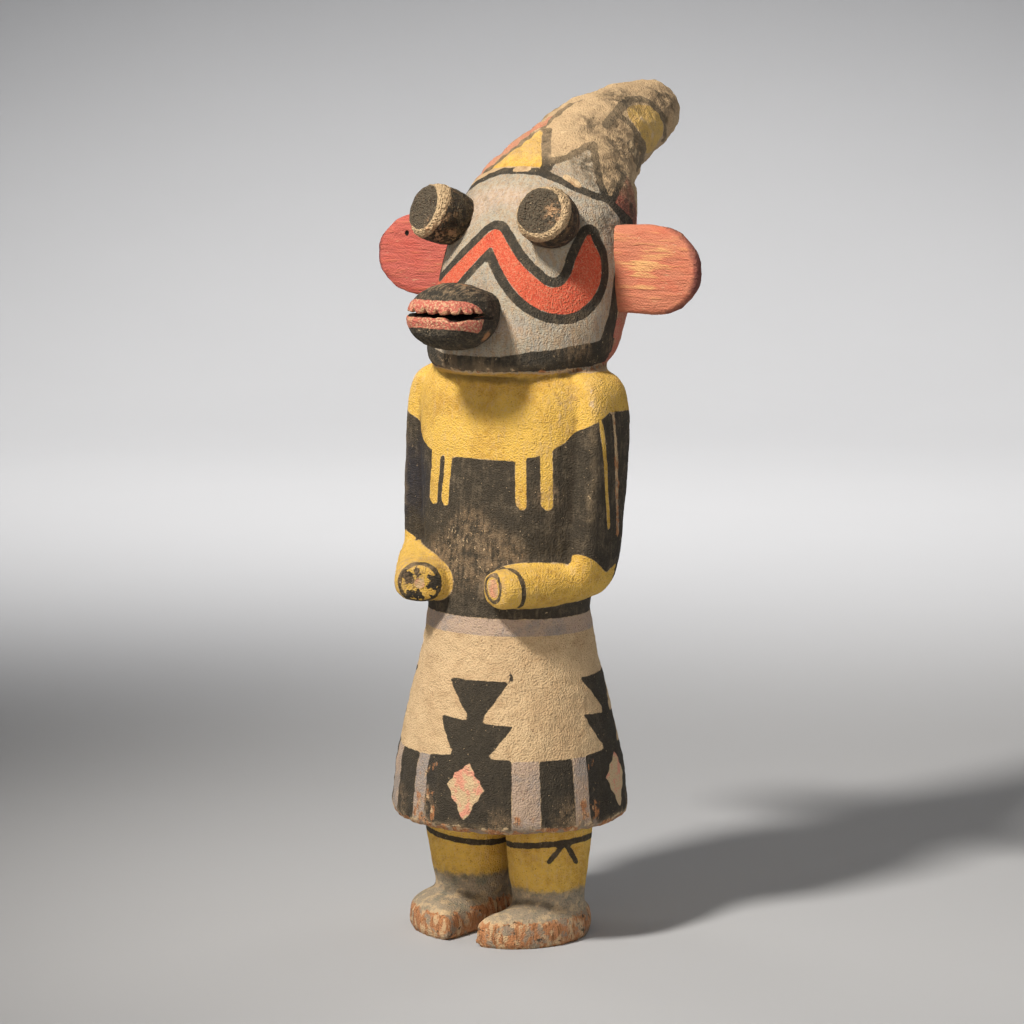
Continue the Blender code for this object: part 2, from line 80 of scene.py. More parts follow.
# Rise and setback as shares of the rise, backward tilt in degrees, width and depth shares
HEAD_STATIONS = (
    (0.000, 0.077, -3.5, 0.940, 0.960),
    (0.040, 0.086, -3.0, 0.985, 1.005),
    (0.100, 0.104, -1.0, 1.000, 1.015),
    (0.200, 0.145, 5.0, 1.010, 1.000),
    (0.344, 0.193, 12.0, 1.005, 0.915),
    (0.480, 0.240, 20.0, 0.988, 0.790),
    (0.585, 0.312, 32.0, 0.890, 0.680),
    (0.676, 0.431, 48.0, 0.675, 0.588),
    (0.757, 0.565, 60.0, 0.554, 0.523),
    (0.813, 0.722, 70.0, 0.459, 0.437),
    (0.856, 0.900, 76.0, 0.366, 0.352),
)
# How closely the mask's own form is meshed, how far round its face and jaw line go in degrees, and
# how far along it the hood starts in mm
MASK_FACETS = 120
MASK_RINGS = 70
FACE_REACH = 88
JAW_REACH = 102
HOOD_FOOT = 52

# Heights of the body's parts, and the kilt's radius outside and round the legs, in mm
SHOULDER_LINE = 184.2
ARM_TOP = 137
WAIST = 106.4
KILT_BAND = 101.0
HEM = 38.6
BARE_HEM = 2.2
ANKLE_WASH = 17.0
FOOT_WORN = 9.4
KILT_RADIUS = 36.0
LEG_ROOM = 22.0

# Paint on the mask: degrees round from the middle of the face, and mm up from the rim
BAND_HALF = (
    (0, 38.7), (11, 33.5), (21, 29), (32, 25.5), (42, 22.7), (50, 24), (53, 28), (53, 32), (57.5, 40.5),
    (62, 37), (69, 34), (73, 29.5), (73.5, 25), (70, 20.5), (60, 16), (45, 16), (33, 18), (21, 22),
    (10, 27.5), (0, 33),
)
BAND_OUTLINE = 3.1
JAW_TOP_HALF = ((0, 4.6), (21, 4.6), (38, 5.9), (50, 6.2), (68, 7.1), (87, 7.7), (140, 7.5), (180, 7.5))
JAW_FOOT = -0.4
CHEEK = ((84, 5), (86, 14), (85, 24), (83, 40), (84, 46), (88, 44), (89, 26), (96, 15), (101, 4))
DASHES = (((-4, 54.0), (5, 54.2)), ((32, 53.6), (42, 52.0)))
BROW_HALF = ((0, 53.6), (14, 53.7), (29, 52.3), (41, 51), (55, 50.3), (66, 50.6))
YELLOW_PEAK = ((-32.5, 55), (-8.3, 68.3), (16, 55))
PEAK_LEFT_LINE = ((-37, 55), (-27, 58), (-21, 61.5), (-11, 69.5), (-11.5, 77.5), (-4.5, 84.5))
PEAK_RIGHT_LINE = ((-4, 68.5), (10, 60.5), (18, 55))
ROSE_BROW = ((-37, 55), (-27, 58), (-21, 61.5), (-11, 69.5), (-11.5, 76), (-40, 72), (-75, 60), (-75, 51))
GREY_PEAK = ((17, 54.5), (26, 58.5), (42, 66), (50, 59.2), (56, 54.6), (62, 51), (45, 51))
GREY_PEAK_LINE = (
    (15.5, 55.3), (26, 59.1), (42, 66.8), (50, 59.6), (56.5, 54.9), (64, 50.8), (79, 48.5), (95, 47),
)
MAROON_PEAK = ((77.8, 63.2), (69.6, 49.3), (82, 47.4), (93.4, 46.8), (108, 47.5), (104.5, 54.8), (94, 60.3))
MAROON_LINE = ((79, 64.2), (69, 49.5), (82, 46.8), (97, 46.2))
TIP_ARCH = (
    (43, 76.5), (43, 85), (39, 94), (45, 99.2), (65.7, 104.1), (88.7, 106.2), (104, 106.6), (122, 107),
)
TIP_OVAL = (
    (48, 88), (47, 92), (56, 99.5), (73, 103.5), (93, 104.5), (122, 104), (126, 92), (100, 87), (75, 86),
    (58, 86.2),
)
TIP_BAR = ((45.5, 83.4), (59, 84.5), (80, 84.2), (104, 86.3), (126, 88))
TIP_WEDGE = ((76, 83.3), (101, 85), (124, 87.8), (110, 75), (86, 73), (71, 76))
TIP_HATCH = (((76, 80.9), (77, 76.2)), ((86.5, 81.7), (87.2, 75.7)), ((99.2, 81.8), (100.7, 76.5)))

# Widths of the brush strokes, in mm
BROW_STROKE = 2.8
PEAK_LEFT_STROKE = 2.4
GREY_PEAK_STROKE = 2.6
MAROON_STROKE = 2.2
BROAD_STROKE = 3.2
DASH_STROKE = 2.2
HATCH_STROKE = 1.7
TICK_STROKE = 0.9
TIE_STROKE = 1.8

# Paint on the body: degrees round from the front, and mm above the floor
YOKE_EDGE_HALF = (
    (0, 156.5), (39, 156.5), (40, 157.5), (54, 158), (65, 160.5), (72, 162.6), (80, 168), (91, 172),
    (108, 171.7), (125, 168), (180, 166),
)
# The yoke's drips: from and to in degrees, and the height of the foot
DRIP_TOP = 168
DRIPS = (
    (-51, -41, 141), (-36, -28, 141), (40, 48, 141.7), (57, 64.5, 141.7), (150, 158, 146), (200, 208, 145),
)
SLEEVE_LINE = ((85, 168.5), (90, 135.5))
SLEEVE_LINE_WIDTH = 1.6
SLEEVE_SCRATCH = ((93.5, 171), (98, 133))
SLEEVE_SCRATCH_WIDTH = 1.3
STRIPE_TOP = 62.5
BLOCK_PERIOD = 90.0
BLOCK_MIDDLE = 14.0
UPPER_TRIANGLE = ((-21.3, 87), (21.3, 87), (6.5, 76.4), (-4.5, 76.2))
LOWER_TRIANGLE = ((-23.3, 75.4), (23.3, 73.2), (10.4, 64), (-12.9, 65.6))
TRIANGLE_NECK = ((-5, 78), (6.5, 78), (5.5, 73), (-5, 73))
BLOCK = (
    (-26.5, 62.8), (-12, 63.5), (-11, 66.5), (9.5, 66), (10.5, 63.3), (22.4, 63), (22.4, 36), (-26.5, 36),
)
DIAMOND = (
    (-0.5, 61.6), (2.6, 59), (2.9, 57.4), (6, 56.3), (6.4, 54.8), (8.9, 53.6), (6.2, 51.6), (5.9, 50),
    (2.6, 48.6), (1.9, 46), (-2.1, 43.6), (-5.2, 46.3), (-5.8, 48.4), (-9.4, 50.3), (-9.8, 52.4),
    (-12.9, 54.3), (-9.3, 56.4), (-8.7, 58), (-5.4, 59),
)
HEM_TICK = ((33.2, 86.6), (36.8, 87.2), (36.2, 89.4))
# Stripes: paint, edges in degrees and the height up to which wood shows through
STRIPES = (("pale", 22.4, 36.7, 43.0), ("coal", 36.7, 54.7, 0.0), ("pale", 54.7, 71.0, 52.0))
GARTER_HEIGHT = 31.6
GARTER_WIDTH = 2.0
TIE_STROKES = (((26.2, -7.2, 32.1), (22.8, -10.1, 26.9)), ((26.9, -5.9, 31.9), (27.9, -1.6, 25.9)))

# Forearms in the carver's frame, in mm: elbow, hand, half width and half height
FOREARMS = {
    1: ((28.6, 3.5, 118.6), (14.6, -29.2, 116.6), 8.9, 6.8),
    -1: ((-31.6, 0.5, 120.4), (-13.6, -30.2, 116.4), 9.8, 7.3),
}
ARM_RADIUS = 7.0
SLEEVE_END = 5.0
SLEEVE_FOOT = 109
WRIST_LINE = 6.4
# Hands: the middle of the painted ring, its radius and the bare palm's, and the blotches' reach
HANDS = {1: ((14.2, -29.5, 117.5), 4.4, 3.0), -1: ((-13.4, -30.5, 116.6), 6.5, 1.8)}
BLOTCH_RADIUS = 6.8
ELBOW_SMUDGE = (28.0, -14.0, 121.0)


def linear(code):
    """An sRGB hex colour as Blender's linear red, green and blue."""
    parts = (int(code[i : i + 2], 16) / 255 for i in (1, 3, 5))
    return tuple(p / 12.92 if p <= 0.04045 else ((p + 0.055) / 1.055) ** 2.4 for p in parts)


def colour(title, code, note):
    return FloatVectorProperty(
        name=title, description=note, default=linear(code), subtype="COLOR", size=3, min=0.0, max=1.0
    )


def sized(title, size_mm, note):
    return FloatProperty(name=title, description=note, default=size_mm * MM, unit="LENGTH")


class DollSizes(bpy.types.PropertyGroup):
    """How finely the doll is carved, and how deep its hand marks are."""

    figure_grain: sized("Figure grain", 1.1, "Spacing of the figure's mesh")
    peg_grain: sized("Peg grain", 0.42, "Spacing of the smaller pieces' meshes")
    gesso_lumps: sized("Clay lumps", 0.8, "Height of the lumps on the hood")
    knife_waver: sized("Knife waver", 0.32, "Depth of the carver's uneven strokes")
    hem_chips: sized("Hem chips", 1.0, "Depth of the chips along the hem")


class DollColours(bpy.types.PropertyGroup):
    """The paints, the clay ground and the bare wood."""

    clay: colour("Clay ground", "#D0B690", "The cream clay under every paint")
    clay_dirty: colour("Handled clay", "#A07F5C", "The same clay where hands and smoke darkened it")
    yellow: colour("Yellow ochre", "#DAB24D", "Shoulders, forearms and legs")
    yellow_deep: colour("Rubbed ochre", "#BD9236", "Ochre in its thin and grimy places")
    black: colour("Charcoal black", "#322F29", "Body, outlines and the kilt's figures")
    black_worn: colour("Rubbed charcoal", "#5E5547", "Charcoal where it has been handled")
    grey: colour("Face grey", "#BCADA0", "The mask's ground")
    grey_green: colour("Green-grey", "#8A978C", "Cool patches in the face grey")
    red: colour("Red-orange", "#C8563D", "The band round the mouth")
    red_deep: colour("Deep red", "#B93A2C", "The band in its thick places")
    maroon: colour("Maroon", "#8C4A3F", "The small peaks at the mask's sides")
    hood: colour("Smoked clay", "#A58B6C", "The hood's rough clay")
    hood_dark: colour("Smoke", "#5C5240", "Smoke in the hood's hollows")
    rose: colour("Rose pink", "#BE6A5C", "The back of the mask and the lips")
    lips: colour("Lip pink", "#B9695A", "The snout's lips")
    pale: colour("Pale mauve", "#AB978A", "The kilt's belt and stripes")
    pale_cool: colour("Cool mauve", "#7E8085", "Cooler patches of the belt and stripes")
    wash: colour("Grey wash", "#8B8476", "Ankles and feet")
    teal: colour("Teal", "#4B5F5B", "Blue-green left in the wash")
    blush: colour("Blush", "#DC9A82", "The kilt's diamonds")
    wood: colour("Bare root wood", "#B57C52", "Wood where the paint has gone")
    # This dark tone is dirt and also painted shade, laid in the hollows between the forms
    grime_and_crease_shade: colour("Grime", "#2C241B", "Dirt in the corners between the forms")
    # The dark grain tone is also laid as dirt and painted shade in the clay's pits
    wood_dark: colour("Dark grain", "#5E3B22", "Grain lines of the bare wood")
    ear_left: colour("Left ear", "#C07A60", "Salmon paint")
    ear_right: colour("Right ear", "#BC6358", "Crimson paint")
    ear_streak: colour("Ear streaks", "#D9AB74", "Wood showing through the ears' paint")
    # Painted shade: the dark tone on the ears' outer ends, where their end faces are in shade
    ear_end_shade: colour("Ear rims", "#5A3438", "Purple-black on the ears' outer ends")
    navy: colour("Blue-black", "#23283A", "The right arm's bluish charcoal")
    # Painted shade: this near-black stands for the shade inside the mouth's slit, its crack and the ear's
    # hole
    slit: colour("Slit", "#17120E", "The dark of the mouth and of the ear's hole")


class Finish:
    """A material under construction: its node tree and the coats laid so far."""

    def __init__(self, name, roughness, ground):
        self.material = bpy.data.materials.new(name)
        self.material.use_nodes = True
        self.tree = self.material.node_tree
        self.shader = self.tree.nodes["Principled BSDF"]
        self.shader.inputs["Roughness"].default_value = roughness
        self.shader.inputs["Specular IOR Level"].default_value = CHALKY_SHEEN
        self.place = self.add("ShaderNodeTexCoord", out="Object")
        self.base = ground

    def add(self, kind, links=None, out=0, **settings):
        """Adds one node with its settings; its inputs are values or other nodes' outputs."""
        made = self.tree.nodes.new(kind)
        for key, value in settings.items():
            setattr(made, key, value)
        for name, value in (links or {}).items():
            if isinstance(value, bpy.types.NodeSocket):
                self.tree.links.new(value, made.inputs[name])
            else:
                made.inputs[name].default_value = value
        return made.outputs[out]

    def field(self, size, stretch=(1, 1, 1), detail=4.0):
        """A noise from 0 to 1 whose grains are `size` mm across, longer where stretch is under 1."""
        laid = self.add("ShaderNodeMapping", {"Vector": self.place, "Scale": stretch})
        links = {"Vector": laid, "Scale": 1 / (size * MM), "Detail": detail, "Roughness": 0.6}
        return self.add("ShaderNodeTexNoise", links, out="Fac")

    def total(self, *parts):
        """The sum of some values, or (value, weight) pairs; a name stands for a mark on the mesh."""
        held = 0.0
        for part in parts:
            value, weight = part if isinstance(part, tuple) else (part, 1.0)
            if isinstance(value, str):
                value = self.add("ShaderNodeAttribute", out="Fac", attribute_name=value)
            held = self.add("ShaderNodeMath", {0: value, 1: weight, 2: held}, operation="MULTIPLY_ADD")
        return held

    def share(self, low, high, *parts):
        """Goes smoothly from none where the parts' sum is `low` to all where it is `high`."""
        links = {"Value": self.total(*parts), "From Min": low, "From Max": high}
        return self.add("ShaderNodeMapRange", links, interpolation_type="SMOOTHSTEP")

    def inside(self, name, waver, reach, soft=0.16):
        """Where a paint lies: its edge is wavered by `reach` mm, and `soft` mm wide."""
        return self.share(reach / 2 - soft, reach / 2 + soft, name, (waver, reach))

    def over(self, below, tone, *shares):
        """One tone laid over another where all the shares overlap."""
        share = shares[0]
        for other in shares[1:]:
            share = self.add("ShaderNodeMath", {0: share, 1: other}, operation="MULTIPLY")
        below, tone = (t if isinstance(t, bpy.types.NodeSocket) else (*t, 1.0) for t in (below, tone))
        return self.add("ShaderNodeMix", {0: share, 6: below, 7: tone}, out=2, data_type="RGBA")

    def coat(self, tone, *shares):
        self.base = self.over(self.base, tone, *shares)

    def done(self, depth, *parts):
        """Links the coats and a relief, `depth` mm deep, to the shader."""
        links = {"Height": self.total(*parts), "Distance": depth * MM, "Strength": 1.0}
        self.tree.links.new(self.add("ShaderNodeBump", links), self.shader.inputs["Normal"])
        self.tree.links.new(self.base, self.shader.inputs["Base Color"])
        return self.material


def through(places, values, at):
    """The values at `at` of a smooth curve through the stations, with no overshoot."""
    places, values, at = (np.asarray(x, float) for x in (places, values, at))
    run = np.diff(places)
    slope = np.diff(values) / run
    onward = slope[:-1] * slope[1:] > 0
    before, after = (np.where(onward, side, 1.0) for side in (slope[:-1], slope[1:]))
    lead, trail = 2 * run[1:] + run[:-1], run[1:] + 2 * run[:-1]
    blend = (lead + trail) / (lead / before + trail / after)
    tangent = np.concatenate([slope[:1], np.where(onward, blend, 0), slope[-1:]])
    i = np.clip(np.searchsorted(places, at, side="right") - 1, 0, len(run) - 1)
    t = (at - places[i]) / run[i]
    rise = 3 * t**2 - 2 * t**3
    bend = tangent[i] * (t**3 - 2 * t**2 + t) + tangent[i + 1] * (t**3 - t**2)
    return values[i] + (values[i + 1] - values[i]) * rise + bend * run[i]


def mask_spine():
    """Rows down the mask's axis in mm: setback, height, tilt, half width, half depth, way along."""
    columns = np.array(HEAD_STATIONS).T
    at = np.linspace(-0.04, HOOD_CROWN, 240)
    setback, tilt, width, depth = (through(columns[0], c, np.maximum(at, 0)) for c in columns[1:])
    back, up, lean = setback * HEAD_RISE, RIM_HEIGHT + at * HEAD_RISE, np.radians(tilt)
    wide, deep = width * HEAD_WIDTH / 2, depth * HEAD_DEPTH / 2
    step = np.linspace(0, 1, 17)[1:]
    round_off = np.sqrt(np.maximum(1 - step**2, 0.0004))
    back = np.append(back, back[-1] + math.sin(lean[-1]) * HOOD_TIP_REACH * step)
    up = np.append(up, up[-1] + math.cos(lean[-1]) * HOOD_TIP_REACH * step)
    wide, deep = np.append(wide, wide[-1] * round_off), np.append(deep, deep[-1] * round_off)
    lean = np.append(lean, np.full(len(step), lean[-1]))
    way = np.append(0, np.cumsum(np.hypot(np.diff(back), np.diff(up))))
    return np.stack([back, up, lean, wide, deep, way - np.interp(0, at, way[: len(at)])])


def mask_point(spine, turn, way):
    """The point of the mask at degrees round and mm along, in the carver's frame."""
    back, up, lean, wide, deep = (np.interp(way, spine[5], row) for row in spine[:5])
    angle = np.radians(turn)
    fore = -deep * np.cos(angle)
    return np.stack([wide * np.sin(angle), back + fore * np.cos(lean), up - fore * np.sin(lean)], -1)


def stretch_from(first, second):
    """A chart's stretches (E, F, G) from its two tangents."""
    return (first**2).sum(-1), (first * second).sum(-1), (second**2).sum(-1)


def mask_chart(points):
    """Turn, way and stretches of points on the mask."""
    spine = mask_spine()
    back, up, lean = spine[:3]
    ahead = (points[:, 1, None] - back) * np.sin(lean) + (points[:, 2, None] - up) * np.cos(lean)
    k = np.clip((ahead > 0).sum(1) - 1, 0, len(back) - 2)
    rows = np.arange(len(points))
    near, far = ahead[rows, k], ahead[rows, k + 1]
    t = np.clip(near / (near - far + 1e-12), -1, 2)
    b, u, l, w, d, s = (row[k] + (row[k + 1] - row[k]) * t for row in spine)
    fore = (points[:, 1] - b) * np.cos(l) - (points[:, 2] - u) * np.sin(l)
    turn = np.degrees(np.arctan2(points[:, 0] / w, -fore / d))
    round_tangent = mask_point(spine, turn + 0.5, s) - mask_point(spine, turn - 0.5, s)
    up_tangent = mask_point(spine, turn, s + 0.5) - mask_point(spine, turn, s - 0.5)
    return turn, s, stretch_from(round_tangent, up_tangent)


def body_chart(points, normals):
    """Turn about the doll's axis, height and stretches of points on the body."""
    turn = np.arctan2(points[:, 0], -points[:, 1])
    outward = np.stack([np.sin(turn), -np.cos(turn), 0 * turn], -1)
    around = np.stack([np.cos(turn), np.sin(turn), 0 * turn], -1)
    facing = np.maximum((normals * outward).sum(-1), 0.35)[:, None]
    reach = np.hypot(points[:, 0], points[:, 1])[:, None]
    lean = -reach * (normals * around).sum(-1)[:, None] / facing
    slope = -normals[:, 2:3] / facing
    up = np.array([0.0, 0.0, 1.0])
    round_tangent = np.radians(reach * around + lean * outward)
    return np.degrees(turn), points[:, 2], stretch_from(round_tangent, up + slope * outward)


def centred(turn, path):
    """Turns brought to within half a round of a path's middle."""
    middle = (path[:, 0].min() + path[:, 0].max()) / 2
    return middle + (turn - middle + 180) % 360 - 180


def distance(chart, path):
    """Distance in mm, on the surface, from each point of a chart to a path of (turn, way) points."""
    turn, way, (e, f, g) = chart
    path = np.asarray(path, float)
    turn = centred(turn, path)
    root = np.sqrt(e)
    upright = np.sqrt(np.maximum(g - f**2 / e, 1e-9))
    best = np.full(len(turn), 1e9)
    flat = [((u - turn) * root + (v - way) * f / root, (v - way) * upright) for u, v in path]
    for (x0, y0), (x1, y1) in zip(flat[:-1], flat[1:]):
        dx, dy = x1 - x0, y1 - y0
        t = np.clip(-(x0 * dx + y0 * dy) / np.maximum(dx**2 + dy**2, 1e-9), 0, 1)
        best = np.minimum(best, np.hypot(x0 + t * dx, y0 + t * dy))
    return best


def patch(chart, outline):
    """Mm inside a closed outline, less than nothing outside it."""
    closed = np.asarray(list(outline) + [outline[0]], float)
    turn, way = centred(chart[0], closed), chart[1]
    within = np.zeros(len(turn), bool)
    for (u0, v0), (u1, v1) in zip(closed[:-1], closed[1:]):
        if v0 != v1:
            crosses = (v0 > way) != (v1 > way)
            within ^= crosses & (turn < u0 + (way - v0) * (u1 - u0) / (v1 - v0))
    gap = distance(chart, closed)
    return np.where(within, gap, -gap)


def stroke(chart, path, width):
    """Mm inside a brush stroke along a path."""
    return width / 2 - distance(chart, path)


def spot(chart, turn, way, radius):
    """A round patch of use or soot, in mm inside its rim."""
    return radius - distance(chart, ((turn - 0.01, way), (turn + 0.01, way)))


def mirrored(path):
    return tuple((-u, v) for u, v in path)


def whole(half):
    """An outline or edge on both sides of the middle line, from its left half."""
    return mirrored(half)[::-1] + tuple(half)[1:]


def turned(outline, by):
    """An outline moved round by some degrees."""
    return [(u + by, v) for u, v in outline]


def rounded(outline):
    """A closed outline with its corners cut twice, as a loaded brush rounds them."""
    points = np.array(outline, float)
    for _ in range(2):
        onward = np.roll(points, -1, axis=0)
        pairs = [points * 0.75 + onward * 0.25, points * 0.25 + onward * 0.75]
        points = np.stack(pairs, 1).reshape(-1, 2)
    return points


def edge_at(half, turn):
    """The height of a left-right even edge at each turn."""
    u, v = np.array(half, float).T
    return np.interp(np.abs(turn), u, v)


def rough(points, size, octaves=3, shift=0.0):
    """Fractal noise of about -1 to 1 at each point, with lumps `size` mm across."""
    lift = Vector((shift, shift * 0.7, -shift))
    return np.array([noise.fractal(Vector(p / size) + lift, 1.0, 2.0, octaves) for p in points])


def coordinates(mesh, what="co"):
    values = np.empty(len(mesh.vertices) * 3, np.float32)
    mesh.vertices.foreach_get(what, values)
    return values.reshape(-1, 3).astype(float)


def set_coordinates(mesh, points):
    mesh.vertices.foreach_set("co", points.astype(np.float32).ravel())
    mesh.update()


def eased(points, edges, rounds, strength=0.5):
    """Points moved towards their neighbours' middle, a few rounds."""
    count = np.bincount(edges.ravel(), minlength=len(points)).clip(1)[:, None]
    for _ in range(rounds):
        total = np.zeros_like(points)
        for axis in range(3):
            total[:, axis] = np.bincount(edges[:, 0], points[edges[:, 1], axis], len(points))
            total[:, axis] += np.bincount(edges[:, 1], points[edges[:, 0], axis], len(points))
        points = points + (total / count - points) * strength
    return points


def mesh_edges(mesh):
    pairs = np.empty(len(mesh.edges) * 2, np.int32)
    mesh.edges.foreach_get("vertices", pairs)
    return pairs.reshape(-1, 2)


def ring_stack(rings):
    """A closed bmesh: the first ring is capped, and its cap is extruded from ring to ring."""
    shape = bmesh.new()
    order = shape.verts.layers.int.new("order")
    start = bmesh.ops.create_circle(shape, segments=len(rings[0]), radius=1.0)["verts"]
    for index, vert in enumerate(start):
        vert[order] = index
        vert.co = rings[0][index]
    first = cap = shape.faces.new(start)
    for ring in rings[1:]:
        made = bmesh.ops.extrude_face_region(shape, geom=[cap])["geom"]
        if cap is not first:
            bmesh.ops.delete(shape, geom=[cap], context="FACES_ONLY")
        cap = next(item for item in made if isinstance(item, bmesh.types.BMFace))
        for vert in cap.verts:
            vert.co = ring[vert[order]]
    bmesh.ops.recalc_face_normals(shape, faces=shape.faces)
    return shape


def mask_infill():
    """The mask's own form with no seats in it, so that the pegs stand in unbroken wood."""
    spine = mask_spine()
    turns = np.arange(MASK_FACETS) * 360 / MASK_FACETS
    rings = []
    for way in np.linspace(0, spine[5][-1], MASK_RINGS):
        points = mask_point(spine, turns, np.full(MASK_FACETS, way))
        rings.append([Vector(p) * MM + ORIGIN for p in points])
    return ring_stack(rings)


def fine_copy(source, name, grain, rounds, infill=None):
    """A close-meshed copy of a solid, with its facets and joints eased, and its points in mm."""
    shape = bmesh.new()
    shape.from_mesh(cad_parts[source].data)
    bmesh.ops.remove_doubles(shape, verts=shape.verts, dist=0.01 * MM)
    if infill:
        filler = bpy.data.meshes.new("infill")
        infill.to_mesh(filler)
        infill.free()
        shape.from_mesh(filler)
        bpy.data.meshes.remove(filler)
    mesh = bpy.data.meshes.new(name)
    shape.to_mesh(mesh)
    shape.free()
    obj = bpy.data.objects.new(name, mesh)
    bpy.context.scene.collection.objects.link(obj)
    change = obj.modifiers.new("even mesh", "REMESH")
    change.mode = "VOXEL"
    change.voxel_size = grain
    graph = bpy.context.evaluated_depsgraph_get()
    obj.data = bpy.data.meshes.new_from_object(obj.evaluated_get(graph))
    obj.modifiers.clear()
    obj.data.name = name
    set_coordinates(obj.data, eased(coordinates(obj.data), mesh_edges(obj.data), rounds))
    obj.data.shade_smooth()
    return obj, obj.data, (coordinates(obj.data) - np.array(ORIGIN)) / MM


def press(mesh, offset_mm):
    """Moves each vertex along its normal."""
    set_coordinates(mesh, coordinates(mesh) + coordinates(mesh, "normal") * offset_mm[:, None] * MM)


def stands_out(mesh, rounds=24):
    """Mm that each vertex stands out from its eased surroundings: positive on edges."""
    points = coordinates(mesh)
    soft = eased(points, mesh_edges(mesh), rounds)
    return ((points - soft) * coordinates(mesh, "normal")).sum(-1) / MM


def settle(obj, marks, source, material):
    """Gives a finished piece its marks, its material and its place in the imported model."""
    for name, values in marks.items():
        layer = obj.data.attributes.new(name, "FLOAT", "POINT")
        layer.data.foreach_set("value", np.asarray(values, np.float32))
    obj.data.materials.clear()
    obj.data.materials.append(material)
    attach(obj, "root")
    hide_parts(source)


class Marks(dict):
    """Signed distances of each paint at each vertex, with overlapping marks of one paint joined."""

    def __init__(self, count, names):
        super().__init__({name: np.full(count, NOWHERE) for name in names})

    def on(self, where):
        """Chooses the vertices that the next paints go on."""
        self.where = where
        return self

    def lay(self, name, depth):
        self[name][self.where] = np.maximum(self[name][self.where], depth)

    def clear(self, name, depth):
        self[name][self.where] = np.minimum(self[name][self.where], -depth)


PAINTS = (
    "grey", "rose", "pale", "wash", "yellow", "red", "maroon", "black", "blush", "dash", "bare",
    "soot_and_shade", "scuff", "hood", "blot", "palm", "coal", "navy",
)
# Smoked places on the mask and hood: turn, way and radius
SOOT = (
    (42, 59, 8), (54, 57, 8), (30, 74, 7), (76, 44, 9), (70, 55, 8), (72, 63, 8), (66, 72, 9), (52, 78, 6),
    (90, 52, 8), (30, 92, 9), (60, 112, 9), (-50, 80, 9), (-80, 60, 10), (150, 70, 8), (-150, 80, 9),
    (180, 52, 6),
)
# Rubbed places: on the mask, then on the body and the kilt
MASK_SCUFFS = ((66, 9, 9), (50, 8, 5), (-18, 3, 7), (12, 1.5, 5), (100, 6, 6))
BODY_SCUFFS = (
    (74, 176, 7), (-2, 128, 15), (24, 124, 13), (62, 146, 6), (60, 160, 5), (-30, 122, 12), (150, 140, 10),
)
KILT_SCUFFS = (
    (-12, 46, 7), (-34, 46, 6), (66, 44, 8), (30, 42, 7), (160, 46, 9), (-120, 47, 8), (120, 43, 7),
    (-60, 43, 7),
)
BLUE_SLEEVE = (-82, 147, 13)


def paint_mask(marks, chart):
    """The face, its zigzag band and jaw line, and the hood's peaks and tip."""
    turn, way, _ = chart
    brow = edge_at(BROW_HALF, turn)
    front = FACE_REACH - np.abs(turn)
    marks.lay("grey", np.minimum.reduce([brow - way, front * 0.5, way + 1.5]))
    marks.lay("rose", np.minimum.reduce([HOOD_FOOT - way, -(front + 8) * 0.5, way + 1.5]))
    marks.lay("hood", way - brow)
    band = patch(chart, rounded(whole(BAND_HALF)))
    marks.lay("red", band)
    marks.lay("black", np.minimum(band + BAND_OUTLINE, -band))
    jaw = np.minimum(edge_at(JAW_TOP_HALF, turn) - way, way - JAW_FOOT)
    marks.lay("black", np.where(np.abs(turn) < JAW_REACH, jaw, NOWHERE))
    fills = [("yellow", YELLOW_PEAK), ("rose", ROSE_BROW), ("grey", GREY_PEAK)]
    lines = [("black", BROW_STROKE, whole(BROW_HALF)), ("black", PEAK_LEFT_STROKE, PEAK_LEFT_LINE)]
    lines += [("black", BROAD_STROKE, PEAK_RIGHT_LINE), ("black", GREY_PEAK_STROKE, GREY_PEAK_LINE)]
    lines += [("dash", DASH_STROKE, dash) for dash in DASHES]
    for flip in (tuple, mirrored):
        fills += [("black", flip(CHEEK)), ("maroon", flip(MAROON_PEAK)), ("black", flip(TIP_WEDGE))]
        fills += [("yellow", rounded(flip(TIP_OVAL)))]
        lines += [("black", MAROON_STROKE, flip(MAROON_LINE)), ("black", BROAD_STROKE, flip(TIP_ARCH))]
        lines += [("black", BROAD_STROKE, flip(TIP_BAR))]
        lines += [("dash", HATCH_STROKE, flip(bar)) for bar in TIP_HATCH]
    for paint, outline in fills:
        marks.lay(paint, patch(chart, outline))
    for paint, width, path in lines:
        marks.lay(paint, stroke(chart, path, width))
    for paint, places in (("soot_and_shade", SOOT), ("scuff", MASK_SCUFFS)):
        for place in places:
            marks.lay(paint, spot(chart, *place))
    marks.lay("bare", np.minimum(JAW_FOOT - 0.2 - way, way + 1.6))


def paint_body(marks, chart):
    """The ochre yoke with its drips, over the charcoal trunk and upper arms."""
    turn, height, _ = chart
    yoke = edge_at(YOKE_EDGE_HALF, turn)
    marks.lay("yellow", np.minimum(height - yoke, SHOULDER_LINE + 3 - height))
    for low, high, foot in DRIPS:
        drip = (
            (low, foot + 1), (low, DRIP_TOP), (high, DRIP_TOP), (high, foot), ((low + high) / 2, foot - 0.6),
        )
        marks.lay("yellow", patch(chart, drip))
    marks.lay("black", np.minimum.reduce([-marks["yellow"][marks.where], yoke - height, height - WAIST]))
    for flip in (tuple, mirrored):
        sleeve = stroke(chart, flip(SLEEVE_LINE), SLEEVE_LINE_WIDTH)
        scratch = stroke(chart, flip(SLEEVE_SCRATCH), SLEEVE_SCRATCH_WIDTH)
        marks.lay("yellow", sleeve)
        marks.lay("bare", scratch)
        marks.clear("black", np.maximum(sleeve, scratch))
    marks.lay("pale", np.minimum(WAIST - height, height - KILT_BAND))
    for place in BODY_SCUFFS:
        marks.lay("scuff", spot(chart, *place))
    marks.lay("navy", spot(chart, *BLUE_SLEEVE))


